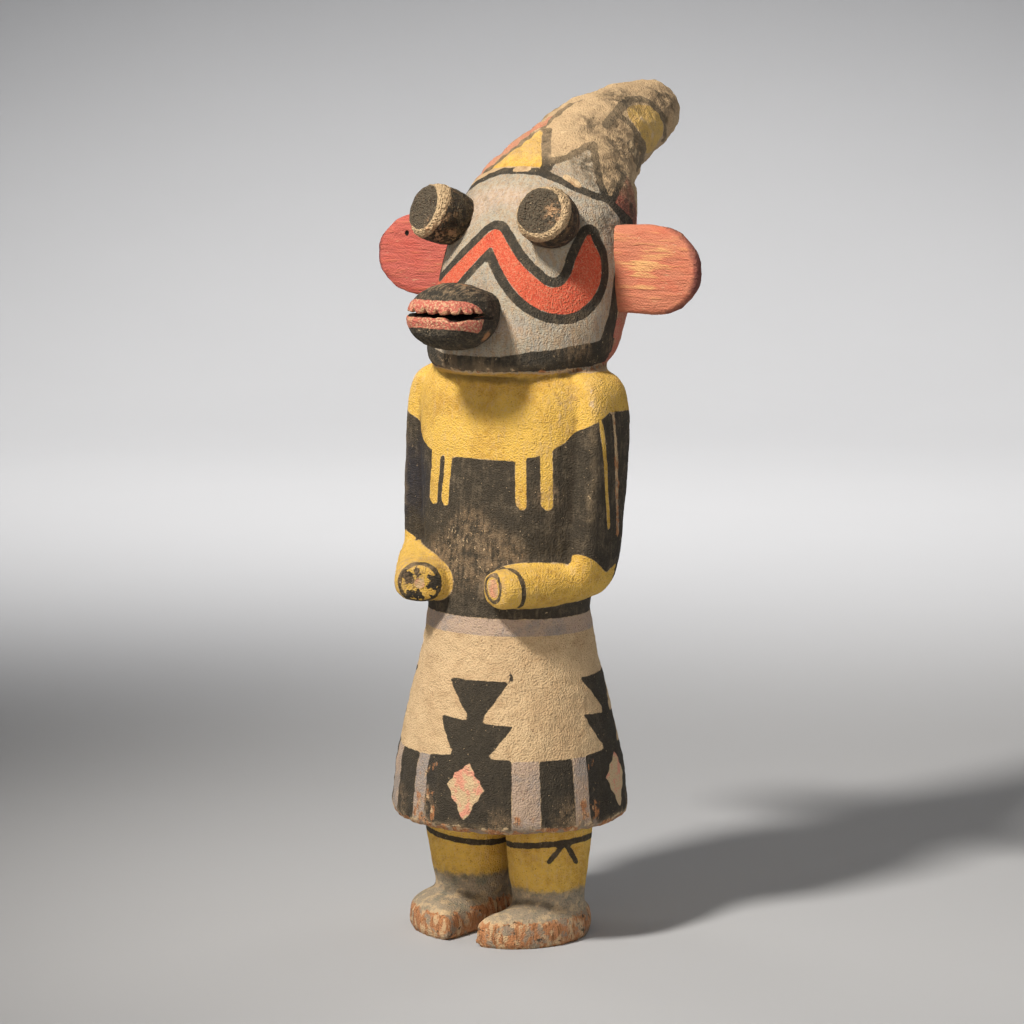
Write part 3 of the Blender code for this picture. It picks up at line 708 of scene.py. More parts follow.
def paint_kilt(marks, chart):
    """The belt, the stepped black figures with their diamonds, and the stripes between them."""
    turn, height, _ = chart
    marks.lay("pale", np.minimum(WAIST - height, height - KILT_BAND))
    reach = np.radians(1) * KILT_RADIUS
    for count in range(round(360 / BLOCK_PERIOD)):
        middle = BLOCK_MIDDLE + BLOCK_PERIOD * count
        for outline in (UPPER_TRIANGLE, LOWER_TRIANGLE, TRIANGLE_NECK, BLOCK):
            marks.lay("coal", patch(chart, turned(outline, middle)))
        marks.lay("blush", patch(chart, turned(DIAMOND, middle)))
        for paint, low, high, worn_to in STRIPES:
            offset = (turn - middle - (low + high) / 2 + 180) % 360 - 180
            depth = np.minimum(((high - low) / 2 - np.abs(offset)) * reach, STRIPE_TOP - height)
            marks.lay(paint, depth)
            marks.lay("bare", np.minimum(depth - 1.0, (worn_to - height) * 0.05 - 0.45))
    for place in KILT_SCUFFS:
        marks.lay("scuff", spot(chart, *place))
    marks.lay("coal", stroke(chart, HEM_TICK, TICK_STROKE))
    marks.lay("bare", HEM + BARE_HEM - height)


def paint_forearm(marks, points, side):
    """Yellow over the forearm's round form, a charcoal line at the wrist and a blotched hand."""
    elbow, hand, wide, high = FOREARMS[side]
    elbow, hand = Vector(elbow), Vector(hand)
    along = (hand - elbow).normalized()
    across = along.cross((0, 0, 1)).normalized()
    up = across.cross(along)
    way, out, rise = ((points - np.array(elbow)) @ np.array(axis) for axis in (along, across, up))
    length = (hand - elbow).length
    beyond = np.maximum(np.maximum(-way, way - length) - SLEEVE_END, 0)
    round_gap = np.hypot(out / wide, rise / high) - 1
    gap = np.hypot(round_gap * ARM_RADIUS, beyond) * np.sign(np.maximum(round_gap, beyond - 0.001))
    sleeve = np.minimum(0.6 - gap, (side * points[:, 0] > 2) * 9.0 - 1.0)
    # On the upper arm the ochre ends along a slope, which falls from the crook to the elbow's back
    x, y, z = points.T
    if side > 0:
        upper_arm = np.minimum((121.0 - 0.73 * y - z) * 0.8, x - 30)
    else:
        upper_arm = np.minimum(129.8 - 0.38 * (x + 36.4) - 0.6 * np.maximum(y + 8, 0) - z, -x - 31)
    sleeve = np.maximum(sleeve, np.minimum(upper_arm, z - SLEEVE_FOOT))
    marks.lay("yellow", sleeve)
    marks.clear("black", sleeve)
    marks.clear("pale", sleeve)
    middle, ring_radius, palm_radius = HANDS[side]
    gap = np.linalg.norm(points - middle, axis=1)
    line = 0.65 - np.abs(gap - ring_radius)
    if side > 0:
        line = np.maximum(0.8 - np.abs(way - length + WRIST_LINE), line)
        marks.lay("soot_and_shade", 2.0 - np.linalg.norm(points - ELBOW_SMUDGE, axis=1))
    else:
        line = np.where(way > length - 6, line, NOWHERE)
        marks.lay("blot", np.minimum(sleeve, BLOTCH_RADIUS - gap))
    marks.lay("black", np.minimum(sleeve, line))
    marks.lay("palm", np.minimum(sleeve, palm_radius - gap))


def paint_legs(marks, points, normals):
    """Ochre legs with a tied garter, the ankles' grey wash and the worn feet."""
    height = points[:, 2]
    side = np.sign(points[:, 0])
    wash = ANKLE_WASH - 1.5 * (side > 0)
    marks.lay("yellow", np.minimum(height - wash, HEM + 1 - height))
    marks.lay("wash", wash + 1.2 - height)
    marks.lay("soot_and_shade", 2.6 - np.abs(height - wash - 0.5) - 2.0 * (side > 0))
    # Painted shade between the legs low down, deepest on the right leg's inner side
    inner = np.minimum(6.0 - np.abs(points[:, 0]), 12.5 - height)
    marks.lay("soot_and_shade", np.where(side < 0, inner + 1, inner - 3))
    outer = np.abs(points[:, 0]) - 14.9
    garter = GARTER_HEIGHT + 0.12 * outer - 1.2 * (side < 0)
    marks.lay("black", GARTER_WIDTH / 2 - np.abs(height - garter))
    for start, end in TIE_STROKES:
        start, end = np.array(start), np.array(end)
        t = np.clip(((points - start) @ (end - start)) / ((end - start) @ (end - start)), 0, 1)
        gap = np.linalg.norm(points - start - t[:, None] * (end - start), axis=1)
        marks.lay("black", TIE_STROKE / 2 - gap)
    # The feet's upright sides are worn to the wood, and their flat tops and soles half as much
    marks.lay("bare", np.minimum(FOOT_WORN - height, 1.6) - 1.6 * np.abs(normals[:, 2]))


def figure_finish(tones):
    """Clay paints on cottonwood root: chalky and matt, brushed by hand over a cream clay ground,
    so the eye sees wavering edges, rubbed tones, pits in the clay and orange wood at worn edges."""
    f = Finish("clay paints on cottonwood", 0.9, tones.clay)
    # The clay's grit is about 0.3 mm; it is drawn twice as coarse, so that it shows
    sand, fine, small = f.field(0.5, detail=0.0), f.field(1.1, detail=3.0), f.field(2.4)
    broad, middling = f.field(16.0), f.field(5.0, detail=5.0)
    brush = f.field(1.1, (1, 1, 0.14))
    hair = f.field(0.6, (1, 1, 0.07), detail=5.0)
    cool = f.share(0.44, 0.62, f.field(9.0))
    patchy = f.share(0.5, 0.66, middling)
    sandy = f.share(0.48, 0.66, sand)
    pits_dirt_and_shade = f.share(0.38, 0.28, (sand, 0.6), (fine, 0.4))

    f.coat(tones.clay_dirty, 0.35, f.share(0.4, 0.7, broad))
    f.coat(tones.clay_dirty, 0.35, patchy)
    f.coat(tones.clay_dirty, 0.40, sandy)
    smoked = f.inside("hood", small, 2.0, 2.0)
    f.coat(tones.hood, 0.45, smoked)
    f.coat(tones.hood_dark, 0.75, smoked, f.share(1.12, 1.42, small, (middling, 0.7), (broad, 0.4)))

    def layer(name, tone, hold=0.95, reach=0.9, soft=0.16):
        f.coat(tone, hold, f.inside(name, small, reach, soft))

    face = f.over(tones.grey, tones.grey_green, 0.5, f.share(-7.0, -1.0, "black", (small, 3.0)))
    face = f.over(face, tones.pale_cool, 0.30, cool)
    face = f.over(face, tones.clay_dirty, 0.55, f.share(0.42, 0.62, (brush, 0.6), (fine, 0.4)))
    face = f.over(face, tones.teal, 0.28, f.share(0.54, 0.68, f.field(2.6, (1, 1, 0.2))))
    face = f.over(face, tones.hood_dark, 0.5, f.share(0.60, 0.72, hair))
    layer("grey", face, 0.93)
    rose = f.over(tones.rose, tones.red_deep, 0.45, cool)
    rose = f.over(rose, tones.clay_dirty, 0.6, f.share(0.47, 0.62, (brush, 0.5), (middling, 0.5)))
    layer("rose", rose, 0.92)
    layer("pale", f.over(tones.pale, tones.pale_cool, 0.8, cool), 0.86)
    ochre = f.over(tones.yellow, tones.yellow_deep, f.share(0.74, 1.15, broad, (small, 0.7)))
    ochre = f.over(ochre, tones.clay, 0.45, f.share(0.50, 0.72, (brush, 0.6), (middling, 0.4)))
    layer("yellow", ochre)
    wash = f.over(tones.wash, tones.clay, 0.6, f.share(0.50, 0.60, f.field(3.0, detail=5.0)))
    layer("wash", f.over(wash, tones.teal, 0.7, patchy), 0.88, 4.0, 0.9)
    layer("red", f.over(tones.red, tones.red_deep, 0.55, patchy), 0.97)
    layer("maroon", f.over(tones.maroon, tones.hood_dark, 0.45, patchy))
    # Chalk and a painted highlight on the grit's tips, and dirt and painted shade in its pits
    f.coat(tones.clay, 0.22, sandy)
    f.coat(tones.wood_dark, 0.50, pits_dirt_and_shade)
    worn = f.share(0.46, 0.66, (brush, 0.35), (middling, 0.4), (fine, 0.25))
    layer("black", f.over(tones.black, tones.black_worn, worn), 0.97)
    layer("coal", f.over(tones.black, tones.black_worn, 0.3, worn), 0.98)
    layer("navy", tones.navy, 0.5, 8.0, 5.0)
    # On the hood the clay's dust dulls the paints
    dusty = f.share(0.44, 0.60, (fine, 0.5), (small, 0.5))
    above_brow = f.share(1.5, 6.0, "hood")
    f.coat(tones.hood, 0.36, above_brow, dusty)
    f.coat(tones.clay, 0.22, above_brow)
    layer("blush", f.over(tones.clay, tones.blush, f.share(0.48, 0.62, f.field(4.0))))
    layer("dash", f.over(tones.clay, tones.clay_dirty, cool))
    f.coat(tones.black, f.inside("blot", small, 1.0), f.share(0.50, 0.54, f.field(3.2)))
    f.coat(f.over(tones.clay, tones.blush, cool), 0.85, f.inside("palm", small, 1.0))

    # Specks where the paint has lifted from the clay, thick with them in the rubbed places
    f.coat(tones.clay, 0.6, f.share(0.70, 0.73, f.field(0.8, detail=2.0)))
    rub = f.share(-1.0, 6.0, "scuff")
    f.coat(tones.hood, 0.42, rub, f.share(0.40, 0.62, (brush, 0.4), (small, 0.6)))
    lifted = f.share(0.67, 0.72, f.field(0.8, (1, 1, 0.6), 3.0), (rub, 0.06))
    f.coat(f.over(tones.clay, tones.clay_dirty, cool), 0.7, lifted, rub)
    f.coat(tones.clay, 0.3, f.share(0.30, 0.75, "edge"))
    f.coat(tones.clay, 0.85, f.share(1.12, 1.2, "edge", f.field(1.6)))
    # Charcoal soot, and the painted shade between the legs, laid in black
    f.coat(tones.black, 0.8, f.share(-2.0, 7.0, "soot_and_shade"), f.share(0.3, 0.62, small))

    # Bare root: brown grain with rests of clay, wash and charcoal in it
    wood = f.over(tones.wood, tones.wood_dark, 0.8, f.share(0.46, 0.66, hair))
    wood = f.over(wood, tones.clay, 0.75, f.share(0.50, 0.60, f.field(2.2, (1, 1, 0.5), 5.0)))
    wood = f.over(wood, tones.wash, 0.8, f.share(0.52, 0.60, f.field(5.0, detail=5.0)))
    wood = f.over(wood, tones.black, 0.85, f.share(0.64, 0.67, f.field(2.4, detail=3.0)))
    f.coat(wood, 0.93, f.inside("bare", f.field(2.6, (1, 1, 0.6), 5.0), 5.0, 0.3))
    # Dirt and painted shade: the dark tone goes into the hollows between the forms
    f.coat(tones.grime_and_crease_shade, 0.6, f.share(-0.15, -0.6, "edge"))
    return f.done(0.8, (sand, 0.6), (fine, 0.2), (small, 0.4), (brush, 0.35))


class DOLL_OT_figure(bpy.types.Operator):
    """The carving from hood to soles, with its hand marks and its paints"""

    bl_idname = "doll.figure"
    bl_label = "Carve and paint the figure"

    def execute(self, context):
        sizes, tones = context.scene.doll_sizes, context.scene.doll_colours
        obj, mesh, points = fine_copy("figure", "carved_figure", sizes.figure_grain, 9, mask_infill())
        height = points[:, 2]
        on_mask = height > SHOULDER_LINE
        chart = mask_chart(points[on_mask])
        hood = np.zeros(len(points))
        hood[on_mask] = np.clip((chart[1] - HOOD_FOOT) / 6, 0, 1)
        kilt = np.clip((WAIST - height) / 3, 0, 1) * (height > HEM)
        # The knife's strokes are about 15 mm long, the hood's lumps 6.5 mm and the clay's crumbs 2.8 mm
        offset = rough(points, 15.0, 2) * sizes.knife_waver / MM
        offset += rough(points, 6.5, 2, 3.0) * hood * sizes.gesso_lumps / MM
        offset += rough(points, 2.8, 2, 5.0) * (0.14 + 0.42 * hood + 0.16 * kilt)
        hem = np.clip(1 - np.abs(height - HEM - 0.8) / 2.2, 0, 1)
        offset -= np.clip(rough(points, 4.0, 2, 9.0), 0, 1) * hem * sizes.hem_chips / MM
        offset *= np.clip(height / 2.0, 0, 1)
        press(mesh, offset)
        placed = coordinates(mesh)
        placed[:, 2] = np.where(height < 0.5, 0.0, placed[:, 2])
        set_coordinates(mesh, placed)

        normals = coordinates(mesh, "normal")
        marks = Marks(len(points), PAINTS)
        paint_mask(marks.on(on_mask), chart)
        upper = (height <= SHOULDER_LINE) & (height > WAIST - 1)
        paint_body(marks.on(upper), body_chart(points[upper], normals[upper]))
        skirt = (height <= WAIST - 1) & (height > HEM - 1.2)
        skirt &= np.hypot(points[:, 0], points[:, 1]) > LEG_ROOM
        paint_kilt(marks.on(skirt), body_chart(points[skirt], normals[skirt]))
        low = (height <= HEM - 0.2) & ~skirt
        paint_legs(marks.on(low), points[low], normals[low])
        arms = (height > WAIST - 6) & (height < ARM_TOP)
        for side in FOREARMS:
            paint_forearm(marks.on(arms), points[arms], side)
        marks["edge"] = stands_out(mesh)
        # The arms' edges have chipped half as much as the rest, and their hollows get half the painted shade
        marks["edge"][arms] *= 0.5
        settle(obj, marks, "figure", figure_finish(tones))
        return {"FINISHED"}


def snout_finish(tones):
    """Charcoal over clay on a carved muzzle: sooty and matt, with pink lips speckled by the clay."""
    f = Finish("charcoal on carved wood", 0.86, tones.black)
    sand, fine, small = f.field(0.5, detail=0.0), f.field(1.0, detail=3.0), f.field(2.2)
    brush = f.field(1.0, (1, 0.2, 1))
    f.coat(tones.black_worn, f.share(0.42, 0.66, (brush, 0.6), (fine, 0.4)))
    f.coat(tones.hood, 0.5, f.share(4.5, 9.5, "above"), f.share(0.46, 0.62, brush))
    f.coat(tones.clay, 0.5, f.share(0.68, 0.72, f.field(0.8, detail=2.0)))
    speckled = f.share(0.48, 0.60, f.field(0.8, detail=3.0))
    f.coat(f.over(tones.lips, tones.clay, 0.65, speckled), f.inside("lips", small, 0.9))
    f.coat(f.over(tones.clay_dirty, tones.wood, small), 0.9, f.inside("stain", small, 4.0, 0.8))
    chips = f.share(0.46, 0.56, "edge", (small, 0.5))
    f.coat(f.over(tones.wood, tones.clay, fine), 0.75, chips)
    # Painted shade: near-black inside the mouth's slit and along its crack
    f.coat(tones.slit, f.inside("dark", small, 0.6))
    return f.done(0.75, (sand, 0.6), (fine, 0.3), (small, 0.6))


# Snout paint in mm: back from the blunt end, and above the mouth line
SNOUT_END = -42.1
MOUTH_LINE = 203.1
MOUTH_DEPTH = 12.5
MOUTH_REACH = 10.2
SLIT_HALF = 1.15
LIPS = (
    (-6, 5.2), (3, 5.2), (5.6, 4.6), (7.8, 3.4), (8.9, 1.7), (9.4, -0.2), (8.8, -3.6), (7.6, -4.9),
    (4, -4.3), (0, -3.5), (-6, -3.5),
)
# Brown stains and glue: to the left, back, above and radius
SNOUT_STAINS = ((12.5, 13, -7, 2.0), (10, 22, -8, 1.6), (-2, 21, -9.5, 2.6), (4, 12, 9.5, 0.8))


class DOLL_OT_snout(bpy.types.Operator):
    """The muzzle with its slit mouth, notched teeth and painted lips"""

    bl_idname = "doll.snout"
    bl_label = "Carve and paint the snout"

    def execute(self, context):
        sizes, tones = context.scene.doll_sizes, context.scene.doll_colours
        obj, mesh, points = fine_copy("snout", "carved_snout", sizes.peg_grain, 2)
        back, above = points[:, 1] - SNOUT_END, points[:, 2] - MOUTH_LINE
        side = points[:, 0]
        # The lower lip is full on the right and cut away under the wide part of the slit
        fullness = 0.75 + 0.5 * rough(points * np.array([1, 1, 0.0]), 3.0, 2, 1.0)
        fullness -= np.exp(-(((side - 8.5) / 3.2) ** 2))
        reach = np.clip(1 - np.abs(above + 1.2) / 2.2, 0, 1) * np.clip((12 - back) / 3, 0, 1)
        placed = coordinates(mesh)
        placed[:, 2] += fullness * reach * MM
        set_coordinates(mesh, placed)
        flat = np.ones_like(back)
        lips = patch((back, above, (flat, 0 * flat, flat)), LIPS)
        swell = np.clip(lips / 1.5, 0, 1) * np.clip((np.abs(above) - 0.6) / 1.0, 0, 1)
        offset = rough(points, 7.0, 2) * 0.2 + rough(points, 1.7, 2, 4.0) * (0.08 + 0.12 * swell)
        press(mesh, 0.35 * swell + offset)
        own = np.stack([side, back, above], 1)
        stains = [radius - np.linalg.norm(own - place, axis=1) for *place, radius in SNOUT_STAINS]
        inward = np.minimum.reduce([SLIT_HALF - np.abs(above), back - 1.3, MOUTH_DEPTH - back])
        crack = np.minimum(0.4 - np.abs(above + 0.6), 15 - back)
        marks = {
            "lips": lips,
            "dark": np.maximum(np.minimum(inward, MOUTH_REACH - np.abs(side)), crack),
            "stain": np.max(stains, axis=0),
            "above": above,
            "edge": stands_out(mesh, 10),
        }
        settle(obj, marks, "snout", snout_finish(tones))
        return {"FINISHED"}


# Peg eyes: where each peg's axis leaves the mask and how it points
EYE_LENGTH = 14.6
EYE_SPLAY = 17.0
EYE_RISE = 15.0
EYE_LEVEL = 0.425
EYE_SPREAD = {1: 18.2, -1: 20.0}


def eye_axis(side):
    """The eye's seat on the mask and its outward direction, in the carver's frame."""
    columns = np.array(HEAD_STATIONS).T
    setback, tilt, width, depth = (float(through(columns[0], c, EYE_LEVEL)) for c in columns[1:])
    lean, spread = math.radians(tilt), EYE_SPREAD[side]
    fore = depth * HEAD_DEPTH / 2 * math.sqrt(1 - (spread / (width * HEAD_WIDTH / 2)) ** 2)
    back = setback * HEAD_RISE - fore * math.cos(lean)
    seat = Vector((side * spread, back, RIM_HEIGHT + EYE_LEVEL * HEAD_RISE + fore * math.sin(lean)))
    splay, rise = math.radians(EYE_SPLAY), math.radians(EYE_RISE)
    flat = math.cos(rise)
    along = Vector((side * math.sin(splay) * flat, -math.cos(splay) * flat, math.sin(rise)))
    return seat, along


def eye_finish(tones):
    """Charcoal and clay on a wooden peg: a sooty pupil in a crumbly cream ring."""
    f = Finish("charcoal and clay on a peg", 0.88, tones.black)
    sand, fine, small = f.field(0.5, detail=0.0), f.field(1.0, detail=3.0), f.field(2.0)
    worn = f.over(tones.black, tones.black_worn, f.share(0.28, 0.52, (fine, 0.5), (small, 0.5)))
    f.coat(tones.hood_dark, f.share(0.40, 0.66, small))
    f.coat(tones.clay_dirty, 0.45, f.share(0.54, 0.64, f.field(2.6, detail=5.0)))
    crumbs = f.share(0.48, 0.68, (sand, 0.6), (small, 0.4))
    f.coat(f.over(tones.clay, tones.hood, crumbs), f.inside("ring", small, 2.4, 0.3))
    f.coat(worn, f.inside("pupil", small, 1.2))
    f.coat(tones.clay, 0.6, f.share(0.68, 0.72, f.field(0.8, detail=2.0)))
    mottle = f.share(0.5, 0.58, f.field(1.4, detail=5.0))
    f.coat(f.over(tones.clay, tones.wood, fine), 0.75, mottle, f.share(-1.0, 2.5, "mottle"))
    # Dirt and painted shade in the grit's pits
    f.coat(tones.wood_dark, 0.4, f.share(0.36, 0.26, sand))
    return f.done(0.9, (sand, 0.9), (fine, 0.7), (small, 0.8))


PUPIL_RADIUS = 7.4
PUPIL_SHIFT = {1: (-1.2, 0.9), -1: (-0.9, 1.0)}
MOTTLE_PLACE = {1: (4.0, 0.5), -1: (5.0, -6.0)}


class DOLL_OT_eyes(bpy.types.Operator):
    """The two peg eyes, each with a charcoal pupil and a rough clay ring"""

    bl_idname = "doll.eyes"
    bl_label = "Carve and paint the eyes"

    def execute(self, context):
        sizes, tones = context.scene.doll_sizes, context.scene.doll_colours
        material = eye_finish(tones)
        for side, word in ((1, "left"), (-1, "right")):
            obj, mesh, points = fine_copy(f"eye_{word}", f"peg_eye_{word}", sizes.peg_grain, 3)
            seat, along = eye_axis(side)
            across = Vector((0, 0, 1)).cross(along).normalized()
            axes = (along, across, along.cross(across))
            way, out, rise = ((points - np.array(seat)) @ np.array(axis) for axis in axes)
            centre_out, centre_up = PUPIL_SHIFT[side]
            front = way - EYE_LENGTH + 1.6
            pupil = np.minimum(PUPIL_RADIUS - np.hypot(out - centre_out, rise - centre_up), front)
            ring = way - EYE_LENGTH + 4.6 - 0.25 * (out - rise)
            crumb = np.clip(ring, 0, 1) * np.clip(0.3 - pupil, 0, 1)
            offset = rough(points, 5.0, 2) * 0.22 + rough(points, 1.5, 2, side) * (0.07 + 0.28 * crumb)
            press(mesh, offset + 0.25 * crumb)
            mottle_out, mottle_up = MOTTLE_PLACE[side]
            marks = {
                "pupil": pupil,
                "ring": ring,
                "mottle": 4.0 - np.hypot(out - mottle_out, rise - mottle_up),
            }
            settle(obj, marks, f"eye_{word}", material)
        return {"FINISHED"}


def ear_finish(tones, word, tone, streaks):
    """Thin paint brushed along a flat paddle, with the pale wood showing in its streaks."""
    f = Finish(f"thin rose paint, {word} ear", 0.84, tone)
    sand, small = f.field(0.5, detail=0.0), f.field(2.4)
    streak = f.field(1.5, (0.10, 1, 1), 5.0)
    broad = f.field(7.0, (0.4, 1, 1), 3.0)
    f.coat(tones.red_deep, 0.40, f.share(0.44, 0.66, (broad, 0.5), (streak, 0.5)))
    f.coat(tones.ear_streak, streaks, f.share(0.50, 0.66, streak))
    f.coat(tones.ear_streak, 0.85, f.share(0.58, 0.74, (streak, 0.85), (broad, 0.25), ("worn", 0.018)))
    f.coat(tones.clay, 0.35, f.share(0.64, 0.70, f.field(0.9, (0.3, 1, 1), 3.0)))
    f.coat(tones.clay, 0.6, f.share(0.46, 0.6, "edge", (small, 0.5)))
    # Painted shade: purple-black on the ears' round outer ends, where their end faces are in shade
    f.coat(tones.ear_end_shade, 0.8, f.inside("rim", f.field(3.0), 3.0, 1.0))
    # Painted shade: near-black in the ear's shallow hole
    f.coat(tones.slit, f.inside("hole", small, 0.4))
    return f.done(0.8, (sand, 0.4), (small, 0.3), streak)


# Ear paint: the share of its streaks, the worn patch's way out and up in mm, and the small hole
EAR_STREAKS = {"left": 0.32, "right": 0.15}
EAR_WORN = {"left": (-4.0, 2.0), "right": (-12.0, 9.0)}
EAR_HOLE = (-50.9, 224.8, 0.9)
# The radius of the ears' round end, and the spacing of the knife arcs in it
EAR_END = 14.0
ARC_SPACING = 1.7


class DOLL_OT_ears(bpy.types.Operator):
    """The two paddle ears, with their tool marks and thin rose paint"""

    bl_idname = "doll.ears"
    bl_label = "Carve and paint the ears"

    def execute(self, context):
        sizes, tones = context.scene.doll_sizes, context.scene.doll_colours
        for side, word in ((1, "left"), (-1, "right")):
            obj, mesh, points = fine_copy(f"ear_{word}", f"paddle_ear_{word}", sizes.peg_grain, 4)
            reach, level = np.abs(points[:, 0]), points[:, 2]
            outer, middle = reach.max(), (level.max() + level.min()) / 2
            long_marks = rough(points * np.array([0.15, 1, 1]), 1.6, 2, 2.0)
            # Knife arcs that follow the rounded end
            beyond = reach - outer + EAR_END
            arc = np.hypot(beyond, level - middle)
            arcs = np.sin(arc * 2 * math.pi / ARC_SPACING) * np.clip((arc - 7.5) / 3, 0, 1) * (beyond > 0)
            hole_x, hole_z, hole_radius = EAR_HOLE
            hole = hole_radius - np.hypot(points[:, 0] - hole_x, level - hole_z)
            facing = np.abs(coordinates(mesh, "normal")[:, 1])
            offset = rough(points, 9.0, 2) * 0.28 + long_marks * 0.10 + arcs * 0.05
            press(mesh, offset - np.clip(hole, 0, 1) * 1.2 * facing)
            worn_out, worn_up = EAR_WORN[word]
            marks = {
                "edge": stands_out(mesh, 10),
                "worn": 8 - np.hypot(beyond - worn_out, level - middle - worn_up),
                "hole": np.where(facing > 0.3, hole, NOWHERE),
                "rim": arc - 13.2 - 9 * (reach < outer - 12),
            }
            tone = tones.ear_left if side > 0 else tones.ear_right
            finish = ear_finish(tones, word, tone, EAR_STREAKS[word])
            settle(obj, marks, f"ear_{word}", finish)
        return {"FINISHED"}


# The camera stands to the doll's left, a little above it, as in the photograph
CAMERA_TURN = 35.0
CAMERA_PITCH = 8.0
CAMERA_DISTANCE = 1112.0
CAMERA_AIM_HEIGHT = 137.3
CAMERA_AIM_SIDE = 1.0
CAMERA_LENS = 121.2


# The stage, in metres: a round paper floor that bends up into a wall all round
BOWL_FLOOR = 1.35
BOWL_BEND = 0.9
BOWL_HEIGHT = 3.0
BOWL_STEPS = 96
# Lamps: name, place and aim in metres towards the camera, to its right and up from the doll's foot,
# then the lamp's radius, its watts, its cone in degrees and its tone
MIDDLE = (0, 0, 0.14)
LAMPS = (
    ("key", (0.594, -0.62, 1.154), (0, 0.13, 0.14), 0.1, 101.0, 40.0, "#FFF6EA"),
    ("fill", (0.990, -0.25, 0.229), MIDDLE, 0.3, 7.0, 90.0, "#FFE0B4"),
    ("back left", (-0.8, -0.75, 0.89), MIDDLE, 0.3, 9.0, 60.0, "#FFF4E6"),
    ("back right", (-0.8, 0.75, 0.89), MIDDLE, 0.3, 9.0, 60.0, "#FFF4E6"),
    ("halo", (-0.6, 0, 1.8), (-1.3, 0.06, 0), 0.1, 240.0, 66.0, "#FFF8F0"),
)
# Five more light the wall all round: their turns from the camera's side, in degrees
WASH_TURNS = (-90, -45, 0, 45, 90)


def camera_axes():
    """The camera's right, its up and the way back from the doll to it."""
    turn, pitch = math.radians(CAMERA_TURN), math.radians(CAMERA_PITCH)
    back = Vector((math.sin(turn) * math.cos(pitch), -math.cos(turn) * math.cos(pitch), math.sin(pitch)))
    right = Vector((math.cos(turn), math.sin(turn), 0))
    return right, back.cross(right), back


def stage_camera():
    right, up, back = camera_axes()
    aim = ORIGIN + Vector((0, 0, CAMERA_AIM_HEIGHT)) * MM + right * CAMERA_AIM_SIDE * MM
    data = bpy.data.cameras.new("camera")
    data.lens = CAMERA_LENS
    data.sensor_width = 36.0
    data.clip_start = 0.05
    data.clip_end = 20.0
    camera = bpy.data.objects.new("camera", data)
    bpy.context.scene.collection.objects.link(camera)
    turned = Matrix((right, up, back)).transposed().to_4x4()
    camera.matrix_world = Matrix.Translation(aim + back * CAMERA_DISTANCE * MM) @ turned
    bpy.context.scene.camera = camera


def spot_light(name, place, aim, radius, power, cone, tone):
    right, _, back = camera_axes()
    near = Vector((back.x, back.y, 0)).normalized()
    place, aim = (ORIGIN + near * n + right * r + Vector((0, 0, u)) for n, r, u in (place, aim))
    data = bpy.data.lights.new(name, "SPOT")
    data.shadow_soft_size = radius
    data.energy = power
    data.spot_size = math.radians(cone)
    data.spot_blend = 1.0
    data.color = linear(tone)
    light = bpy.data.objects.new(name, data)
    bpy.context.scene.collection.objects.link(light)
    light.location = place
    light.rotation_euler = (aim - place).to_track_quat("-Z", "Y").to_euler()
    light.visible_camera = False


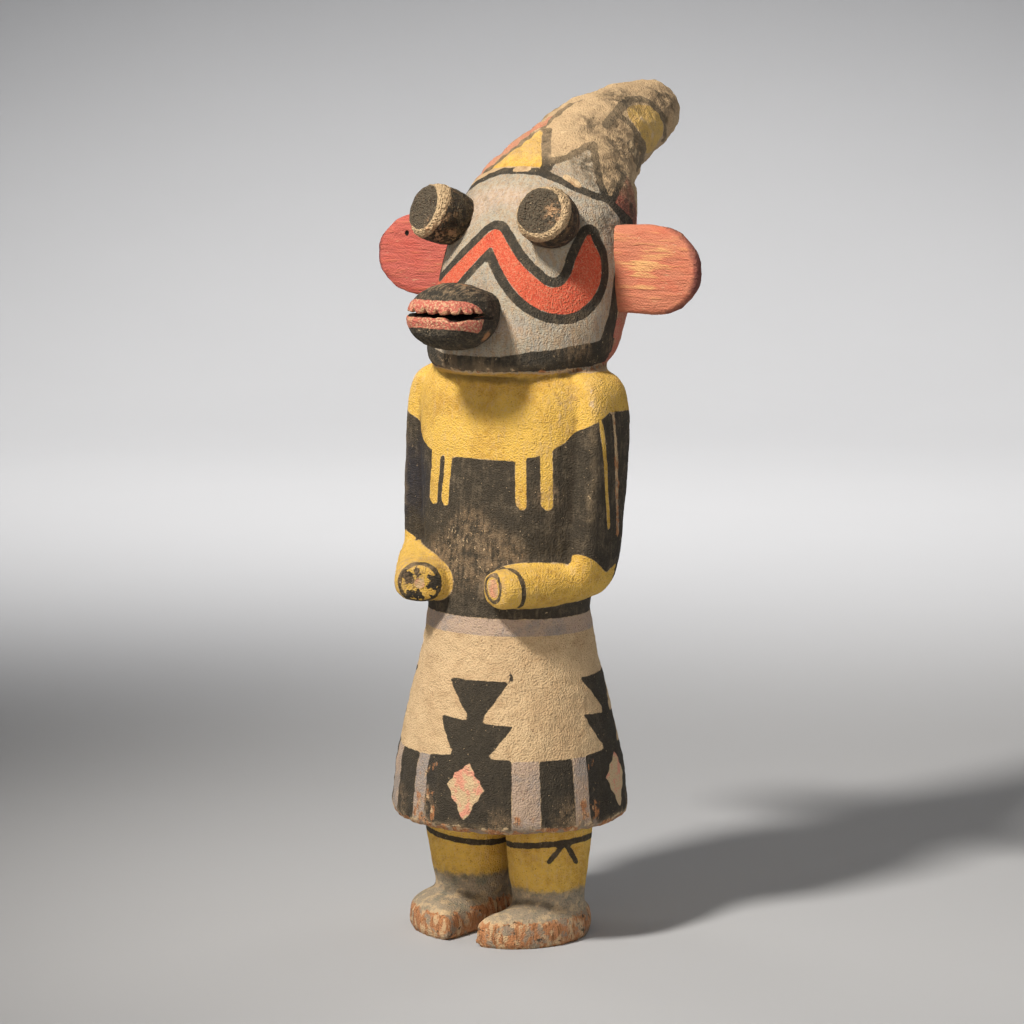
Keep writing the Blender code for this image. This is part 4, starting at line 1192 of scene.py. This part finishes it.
class DOLL_OT_stage(bpy.types.Operator):
    """A plain pale floor that bends up into a backdrop all round, soft studio lights and the camera"""

    bl_idname = "doll.stage"
    bl_label = "Set the floor, lights and camera"

    def execute(self, context):
        stage_camera()
        shape = bmesh.new()
        profile = [(0.0, 0.0), (BOWL_FLOOR / 2, 0.0)]
        for turn in np.radians(range(0, 91, 5)):
            profile.append((BOWL_FLOOR + BOWL_BEND * math.sin(turn), BOWL_BEND * (1 - math.cos(turn))))
        profile.append((BOWL_FLOOR + BOWL_BEND, BOWL_HEIGHT))
        verts = [shape.verts.new(ORIGIN + Vector((reach, 0, high))) for reach, high in profile]
        edges = [shape.edges.new(pair) for pair in zip(verts[:-1], verts[1:])]
        whole_turn = {"axis": (0, 0, 1), "angle": 2 * math.pi, "steps": BOWL_STEPS, "use_merge": True}
        bmesh.ops.spin(shape, geom=verts + edges, cent=ORIGIN, **whole_turn)
        bmesh.ops.remove_doubles(shape, verts=shape.verts, dist=MM)
        bmesh.ops.recalc_face_normals(shape, faces=shape.faces)
        mesh = bpy.data.meshes.new("floor")
        shape.to_mesh(mesh)
        shape.free()
        mesh.shade_smooth()
        floor = bpy.data.objects.new("floor", mesh)
        context.scene.collection.objects.link(floor)
        # Rolled paper: quite matt, and just uneven enough for the eye to see a surface
        f = Finish("matt studio paper", 0.95, linear("#B3B7BD"))
        f.coat(linear("#AEB2B8"), f.field(300.0))
        mesh.materials.append(f.done(0.02, f.field(2.0)))
        for lamp in LAMPS:
            spot_light(*lamp)
        for turn in WASH_TURNS:
            aim = (2 * math.cos(math.radians(turn)), 2 * math.sin(math.radians(turn)), 0.3)
            spot_light("wall wash", (0, 0, 1.7), aim, 0.1, 170.0, 78.0, "#FFF8F0")
        world = bpy.data.worlds.new("studio")
        world.use_nodes = True
        glow = world.node_tree.nodes["Background"].inputs
        glow["Color"].default_value = (*linear("#DAD3C8"), 1.0)
        glow["Strength"].default_value = 0.13
        context.scene.view_settings.view_transform = "Standard"
        context.scene.world = world
        return {"FINISHED"}


class DOLL_PT_panel(bpy.types.Panel):
    """Lists the doll's pieces and its stage"""

    bl_idname = "DOLL_PT_panel"
    bl_label = "Painted root doll"
    bl_space_type = "VIEW_3D"
    bl_region_type = "UI"
    bl_category = "Doll"

    def draw(self, context):
        for operator in OPERATORS:
            self.layout.operator(operator.bl_idname)


GROUPS = (DollSizes, DollColours)
OPERATORS = (DOLL_OT_figure, DOLL_OT_snout, DOLL_OT_eyes, DOLL_OT_ears, DOLL_OT_stage)
CLASSES = GROUPS + OPERATORS + (DOLL_PT_panel,)


def register():
    for item in CLASSES:
        bpy.utils.register_class(item)
    bpy.types.Scene.doll_sizes = PointerProperty(type=DollSizes)
    bpy.types.Scene.doll_colours = PointerProperty(type=DollColours)


def unregister():
    del bpy.types.Scene.doll_sizes
    del bpy.types.Scene.doll_colours
    for item in reversed(CLASSES):
        bpy.utils.unregister_class(item)


def main():
    register()
    bpy.ops.doll.figure()
    bpy.ops.doll.snout()
    bpy.ops.doll.eyes()
    bpy.ops.doll.ears()
    bpy.ops.doll.stage()


if __name__ == "__main__":
    main()
